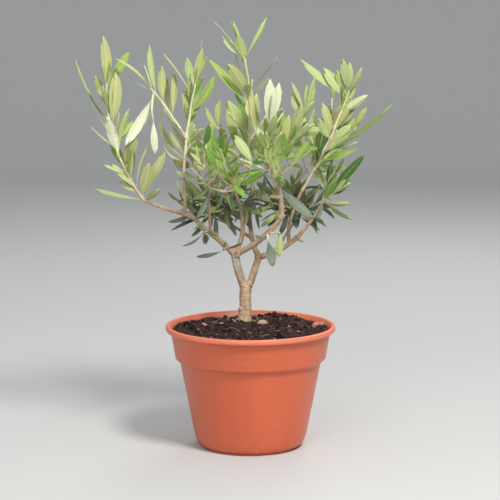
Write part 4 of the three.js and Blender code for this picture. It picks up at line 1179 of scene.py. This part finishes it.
def side_twigs(path, sizes, seed, count, tone, space):
    """Finer twigs in the axils of a shoot: short, with two or three pairs of smaller leaves."""
    for k in range(count):
        share = 0.12 + 0.62 * (k + 0.7 * chance(seed, 300 + k)) / count
        along = heading(path, share)
        turn = sizes["turn"] + 45 + SPIRAL * k + 40 * chance(seed, 320 + k)
        lean = math.radians(20 + 22 * chance(seed, 340 + k))
        out = turned_about(across_of(along), along, turn)
        way = unit(along * math.cos(lean) + out * math.sin(lean) + [0, 0, 0.3 * (1 - tone)])
        length = 13 + 15 * chance(seed, 360 + k)
        start = path(share)
        end = start + way * length
        fine = bowed(start, end, 0.06 * length * out)
        small = shoot(
            end, pairs=2 + int(chance(seed, 380 + k) > 0.5), bare=0.25, spread=22 + 28 * tone,
            leaf=sizes["leaf"] * (0.76 + 0.26 * chance(seed, 400 + k)), turn=90 * chance(seed, 420 + k),
        )
        line = fine(np.linspace(0.35, 1, 5))
        if within(end, space) and not shuts_opening(line, 1) and not meets_limb(line, TWIG_ROOM):
            before = len(leaves)
            for pair in range(small["pairs"]):
                for leaf in leaf_pair(fine, small, pair, seed + 0.37 * (k + 1)):
                    add_leaf(leaf, tone, space)
            if len(leaves) > before:
                twigs.append((fine, *FINE_RADII, small["pairs"], small["bare"], tone))


def shade_leaves(path, seed, count, leaf, tone, space):
    """Old single leaves low in the crown, strung along a shoot, level or drooping."""
    for k in range(count):
        base = path(0.05 + 0.9 * (k + 0.6 * chance(seed, 500 + k)) / count)
        turn = math.radians(SPIRAL * k + 60 * chance(seed, 520 + k))
        way = unit(np.array([math.cos(turn), math.sin(turn), 0.35 - 1.05 * chance(seed, 540 + k)]))
        length = leaf * (0.8 + 0.5 * chance(seed, 560 + k))
        face = turned_about(unit(UPWARD - way * way[2]), way, 70 * (chance(seed, 580 + k) - 0.5))
        width = length * (0.15 + 0.07 * chance(seed, 600 + k))
        add_leaf((base, base + way * length, width, face), tone, space)


# How the space of a mass is moved at its low and its high corner for the leaves of its main shoots,
# for side twigs, which keep further in, and for old leaves, which hang lower
LOOSE = np.array([[-2.0], [2.0]])
INWARD = np.array([[10.0, 4, 0], [-10, -4, -8]])
LOWERED = np.array([0, 0, -14.0])
SHADE_SPACING = 3.2
for mass_index, (mass_name, mass) in enumerate(MASSES.items()):
    low, high = (np.array(corner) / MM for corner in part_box(mass_name))
    space = np.stack([low - 1, high + 1])
    # The outermost leaves are the ones placed one by one, so the others stop short of them
    reach = mass.get("reach", (-math.inf, math.inf))
    space[:, 0] = max(space[0, 0], reach[0]), min(space[1, 0], reach[1])
    tone, paths = mass["tone"], shoot_paths[mass_name]
    for k, (path, sizes) in enumerate(zip(paths, mass["shoots"])):
        seed = 10 * mass_index + k + 1
        girth = LIMBS[mass["limb"]]["radii"][1] if k == 0 and "share" not in mass else sizes["girth"]
        twigs.append((path, girth, SHOOT_TIP, sizes["pairs"], sizes["bare"], tone))
        for pair in range(sizes["pairs"]):
            for leaf in leaf_pair(path, sizes, pair, seed):
                add_leaf(leaf, tone, space + LOOSE)
        length = path_length(path)
        if sizes["pairs"] > 2:
            side_twigs(path, sizes, seed, int(length / mass.get("twig_gap", 50)), tone, space + INWARD)
        if "shaded" in mass:
            shade_leaves(path, seed, int(length / SHADE_SPACING), sizes["leaf"], tone, space + LOWERED)
    for which, share, end, roll, wide, *own_tone in mass.get("placed", ()):
        add_leaf(placed_leaf(paths[which], share, end, roll, wide), own_tone[0] if own_tone else tone)

TWIG_SIDES = 7
twig_parts, twig_tones = [], []
for k, (path, first, last, pairs, bare, tone) in enumerate(twigs):
    length = path_length(path)
    t = np.linspace(0, 1, max(6, int(length / 2.2)))
    body = min(first, 1.5)
    radii = body + (last - body) * t + (first - body) * np.exp(-t * length / 7)
    gaps = (1 - bare) / max(pairs - 0.6, 1)
    node = np.exp(-((((t - bare) / gaps + 0.25) % 1 - 0.5) * gaps * length / 1.3) ** 2)
    radii = radii * (1 + 0.3 * node)
    radii[-2:] *= (0.85, 0.55)
    sway = 0.35 * np.sin(np.pi * t)
    along = t * length
    wander = np.stack([sway * np.sin(along / 5 + k), sway * np.cos(along / 6 + 2 * k), 0 * t], axis=-1)
    twig_parts.append(tube_mesh(path(t) + wander, radii, TWIG_SIDES))
    face_t = np.repeat(np.arange(len(t) - 1) / len(t), TWIG_SIDES)
    this_year = 0 if first > 1 else 0.4
    young = np.clip(face_t + 0.35 * chance(51, k) - 0.3 * tone + this_year, 0, 0.99)
    twig_tones.append(np.floor(young * 4))
# Wood tones from last year's grey-brown to this year's green; both ends of a twig have the second
TWIG_TONES = [(0.52, 0.42, 0.29), (0.70, 0.60, 0.41), (0.70, 0.64, 0.42), (0.52, 0.54, 0.27)]
twig_tones.append(np.ones(2 * TWIG_SIDES * len(twigs)))
twig_finishes = toned_finishes("twig", TWIG_TONES, 0.65, 0.35, 1300, relief=0.35, depth=0.0002,
                               stretch=(1, 1, 0.4))
twig_piece = new_piece("twigs", *joined(twig_parts), twig_finishes, np.concatenate(twig_tones))
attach(twig_piece, "root")

# Leaves: leathery and narrow, satin green above and felted silver below, with a pale rib down the
# middle and a short stalk. Each is a closed blade, folded a little along its rib.
STALK = 0.1
# Shares of the length at which a leaf has points, and the points round it there: how far across
# they are in half widths, and which lie on the underside
STATIONS = np.array([0, STALK, 0.22, 0.42, 0.62, 0.81, 0.93])
BLADE = (STATIONS - STALK) / (1 - STALK)
ACROSS = np.array([-1, -0.5, -0.055, 0.055, 0.5, 1, 0.08, -0.08])
UNDER = np.array([0, 0, 0, 0, 0, 0, 1, 1])
LEAF_THICK = 0.42
LEAST_HALF = 0.36
# How much more an old leaf arches, as a share of its length
ARCH = 0.11


def leaf_outline(t):
    """Half width along the blade: t^1.02 (1-t)^0.87, scaled so that its most is 1."""
    t = np.clip(t, 0, 1)
    return t ** 1.02 * (1 - t) ** 0.87 / 0.2711


def leaf_points(base, end, width, face, old, seed):
    """Every leaf at once. A point is base + way L t + side w(t) s + face (bow 4t(1-t) L + fold |s| w
    - curl |s|^3 w), with side and face twisted about the leaf's length as t goes up."""
    count = len(base)
    n = np.arange(count)
    length = np.linalg.norm(end - base, axis=1)
    way = unit(end - base)
    face = unit(face - way * (face * way).sum(1, keepdims=True))
    side = np.cross(way, face)
    bow = (0.15 * (chance(seed, n) - 0.6) + ARCH * old)[:, None]
    fold = (0.12 + 0.3 * chance(seed + 1, n))[:, None, None]
    curl = (0.1 + 0.22 * chance(seed + 2, n))[:, None, None]
    sideways = (0.08 * (chance(seed + 4, n) - 0.5))[:, None]
    twist = np.radians(60) * (chance(seed + 3, n) - 0.5)[:, None] * (STATIONS - 0.2)
    t = STATIONS[None, :]
    half = np.maximum(0.5 * width[:, None] * leaf_outline(BLADE)[None, :] + 0.1, LEAST_HALF)
    hump = 4 * t * (1 - t) * length[:, None]
    centre = base[:, None] + way[:, None] * (length[:, None] * t)[..., None]
    centre = centre + face[:, None] * (bow * hump)[..., None] + side[:, None] * (sideways * hump)[..., None]
    cosine, sine = np.cos(twist)[..., None], np.sin(twist)[..., None]
    turned_side = side[:, None] * cosine + face[:, None] * sine
    turned_face = face[:, None] * cosine - side[:, None] * sine
    s = ACROSS[None, None, :]
    flat = half[:, :, None]
    up = fold * np.abs(s) * flat - curl * np.abs(s) ** 3 * flat - UNDER * (LEAF_THICK + 0.1)
    stalk = np.where(STATIONS <= STALK, 1.0, 0.0)[None, :, None]
    up = up + stalk * (0.3 * (1 - np.abs(s)) * (1 - UNDER))
    points = centre[:, :, None] + turned_side[:, :, None] * (s * flat)[..., None]
    points = (points + turned_face[:, :, None] * up[..., None]).reshape(count, -1, 3)
    return np.concatenate([points, base[:, None], end[:, None]], axis=1)


leaf_base, leaf_end, leaf_width, leaf_face, leaf_tone = (np.array(values) for values in zip(*leaves))
LEAVES = len(leaf_base)
leaf_vertices = leaf_points(leaf_base, leaf_end, leaf_width, leaf_face, leaf_tone > OLD_LEAF, 61)
rows, columns = len(STATIONS), len(ACROSS)
points_each = leaf_vertices.shape[1]
leaf_quads, leaf_fans = skin_faces(rows, columns)
# The points run the other way round the blade, so its faces are turned over
leaf_faces = [leaf_quads[:, ::-1], leaf_fans[:, [1, 0, 2]]]
# The strips round the blade: 0 is the upper side, 1 its rib, 2 the underside and 3 its rib
STRIP_KIND = np.array([0, 0, 1, 0, 0, 2, 3, 2])
quad_kind = np.tile(STRIP_KIND, rows - 1)
quad_kind[:columns] = 1
fan_kind = np.concatenate([np.full(columns, 1), STRIP_KIND])
# The darker upper and lower tones stand partly for painted shade of leaves inside the crown
UPPER_TONES = [
    (0.30, 0.42, 0.10), (0.15, 0.30, 0.04), (0.06, 0.17, 0.018), (0.066, 0.12, 0.036), (0.056, 0.076, 0.052),
    (0.34, 0.38, 0.13), (0.19, 0.215, 0.08),
]
LOWER_TONES = [
    (0.57, 0.60, 0.43), (0.47, 0.54, 0.28), (0.35, 0.43, 0.17), (0.28, 0.35, 0.14), (0.135, 0.165, 0.118),
    (0.37, 0.39, 0.16),
]
RIB_TONES = [(0.62, 0.66, 0.40), (0.46, 0.52, 0.23), (0.33, 0.40, 0.16), (0.15, 0.18, 0.105)]
leaf_finishes = []
for side, tones, roughness in [
    ("leaf_upper", UPPER_TONES, 0.36), ("leaf_lower", LOWER_TONES, 0.62), ("leaf_rib", RIB_TONES, 0.5),
]:
    leaf_finishes += toned_finishes(side, tones, roughness, 0.45, 650, relief=0.22, depth=0.0002,
                                    shares=(0.9, 1.08), low=0.32, high=0.68, detail=4)
FIRST_LOWER = len(UPPER_TONES)
FIRST_RIB = FIRST_LOWER + len(LOWER_TONES)
# Leaves are darker and greyer towards the low part of the crown: partly older leaves, partly
# painted shade under the crown above them
n = np.arange(LEAVES)
SHADE_TOP, SHADE_FADE = 222, 62
height_share = np.clip((leaf_end[:, 2] - SHADE_TOP) / SHADE_FADE, 0, 1)
# How old and how shaded a leaf is painted: from its mass's tone, its height in the crown and chance
age_and_shade = 0.22 * leaf_tone + 0.6 * (1 - height_share) + 0.46 * (chance(71, n) - 0.42)
upper_choice = np.searchsorted([0.12, 0.36, 0.5, 0.72], age_and_shade)
# Leaves that have had most sun are more olive than green
SUNNY_SIDE = -60
olive_share = np.where(leaf_end[:, 0] < SUNNY_SIDE, 0.55, 0.36)
olive_green = (chance(73, n) < olive_share) & (leaf_tone > -0.5)
upper_choice = np.where(olive_green, 5 + (age_and_shade > 0.45), upper_choice)
lower_age_and_shade = age_and_shade + 0.5 * (chance(72, n) - 0.5)
lower_choice = np.searchsorted([-0.3, -0.1, 0.42, 0.7], lower_age_and_shade)
lower_choice = FIRST_LOWER + np.where(olive_green & (lower_choice == 2), 5, lower_choice)
upper_rib = FIRST_RIB + np.searchsorted([0.0, 0.25, 0.6], age_and_shade)
lower_rib = FIRST_RIB + np.searchsorted([-0.1, 0.42, 0.7], lower_age_and_shade)
choices = np.stack([upper_choice, upper_rib, lower_choice, lower_rib], axis=-1)
leaf_piece = new_piece(
    "leaves", leaf_vertices.reshape(-1, 3), repeated(leaf_faces, LEAVES, points_each), leaf_finishes,
    np.concatenate([choices[:, quad_kind].ravel(), choices[:, fan_kind].ravel()]),
)
# The blade's margins and rib stay crisp, so that its halves and its silver side each keep their light
local = np.arange(points_each)
on_margin = (local < rows * columns) & np.isin(local % columns, (0, 2, 3, 5, 6, 7))
margin = np.tile(on_margin, LEAVES)
ends = np.empty(len(leaf_piece.data.edges) * 2, np.int32)
leaf_piece.data.edges.foreach_get("vertices", ends)
ends = ends.reshape(-1, 2)
strip = ends % points_each % columns
same_side = strip[:, 0] == strip[:, 1]
crisp = leaf_piece.data.attributes.new("sharp_edge", "BOOLEAN", "EDGE")
crisp.data.foreach_set("value", margin[ends[:, 0]] & margin[ends[:, 1]] & same_side)
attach(leaf_piece, "root")
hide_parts(*MASSES)

# Olive: one unripe fruit, firm and green, with fine pale dots. It hangs on a short stalk under the
# right-hand shoots.
OLIVE_STALK = np.array([27.8, -6.8, 265.0])
OLIVE_RADIUS = 4.2
OLIVE_LENGTH = 4.9
olive_u = np.linspace(0, np.pi, 25)
olive_profile = np.stack([OLIVE_RADIUS * np.sin(olive_u) ** 0.94, -OLIVE_LENGTH * np.cos(olive_u)], axis=-1)
olive_profile[0, 0] = olive_profile[-1, 0] = 0
olive_points, olive_faces = turned(olive_profile, 32)
stalk_path = bowed(OLIVE_STALK, OLIVE_CENTRE + [0, 0.5, 3.6], (0, 1.5, 1.5))
olive_stalk = tube_mesh(stalk_path(np.linspace(0, 1, 9)), np.linspace(0.55, 0.75, 9), 8)
olive_finish = Finish("olive_skin", (0.18, 0.32, 0.06), 0.3)
olive_dots = olive_finish.grain(1100, 0.6, 0.68, detail=1)
olive_shade = olive_finish.grain(120, 0.35, 0.65, detail=2)
olive_colour = olive_finish.mix(olive_shade["Mask"], (0.13, 0.26, 0.04), (0.2, 0.34, 0.07))
olive_colour = olive_finish.mix(olive_dots["Mask"], olive_colour, (0.36, 0.46, 0.18))
olive_finish.drive("Base Color", olive_colour)
olive_mesh = joined([(olive_points + OLIVE_CENTRE, olive_faces), olive_stalk])
olive = new_piece("olive", *olive_mesh, [olive_finish.material])
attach(olive, "root")

# Floor, light and camera: a plain pale floor under soft light, seen from a little above the crown.
# The floor sweeps up into a round cove well behind the camera, so that no horizon shows.
FLAT_RADIUS, COVE_RADIUS, COVE_TOP = 2600, 1400, 2600
cove_turn = np.linspace(0, np.pi / 2, 24)
cove_curve = [
    (FLAT_RADIUS + COVE_RADIUS * math.sin(a), COVE_RADIUS - COVE_RADIUS * math.cos(a)) for a in cove_turn
]
cove_edge = (FLAT_RADIUS + COVE_RADIUS, COVE_TOP)
cove_profile = np.array([(0, 0.0), (400, 0.0), (1400, 0.0), *cove_curve, cove_edge])
cove_angle = circle(96)
cove_out, cove_up = cove_profile[:, :1], cove_profile[:, 1:]
cove_points = np.stack(
    [cove_out * np.cos(cove_angle), cove_out * np.sin(cove_angle), cove_up + 0 * cove_angle], axis=-1
).reshape(-1, 3)
floor_finish = Finish("floor", (0.50, 0.51, 0.51), 0.9, specular=0.2)
cove_faces = [grid_faces(len(cove_profile), len(cove_angle))]
floor = new_piece("floor", cove_points, cove_faces, [floor_finish.material])

world = bpy.data.worlds.new("studio")
bpy.context.scene.world = world
world.use_nodes = True
sky = world.node_tree.nodes["Background"]
sky.inputs["Color"].default_value = (0.97, 0.98, 1.0, 1)
sky.inputs["Strength"].default_value = 0.65


def area_light(name, place, aim, size, power, colour):
    """A round lamp at a place, turned to shine at what it is aimed at."""
    light = bpy.data.lights.new(name, "AREA")
    light.shape = "DISK"
    light.size = size
    light.energy = power
    light.color = colour
    lamp = bpy.data.objects.new(name, light)
    lamp.location = place
    lamp.rotation_euler = (aim - lamp.location).to_track_quat("-Z", "Y").to_euler()
    bpy.context.scene.collection.objects.link(lamp)


CROWN = Vector((0, 0, 0.22))
area_light("key", (0.65, -1.15, 1.7), CROWN, 0.5, 41, (1.0, 0.965, 0.91))
area_light("fill", (-0.5, -1.7, 1.0), CROWN, 1.3, 13, (0.98, 0.99, 1.0))
area_light("rim", (0.4, 1.4, 1.3), CROWN, 0.8, 8, (1.0, 0.98, 0.95))

# The view's focal length and width in pixels, and how far it looks down in degrees
FOCAL_PIXELS = 1830.0
FRAME_PIXELS = 500.0
PITCH = 8.15
camera_data = bpy.data.cameras.new("camera")
camera_data.sensor_width = 36.0
camera_data.lens = FOCAL_PIXELS / FRAME_PIXELS * camera_data.sensor_width
camera_data.clip_start = 0.05
camera = bpy.data.objects.new("camera", camera_data)
camera.location = Vector(EYE * MM)
camera.rotation_euler = (math.radians(90 - PITCH), 0, 0)
bpy.context.scene.collection.objects.link(camera)
bpy.context.scene.camera = camera
bpy.context.scene.view_settings.view_transform = "Standard"
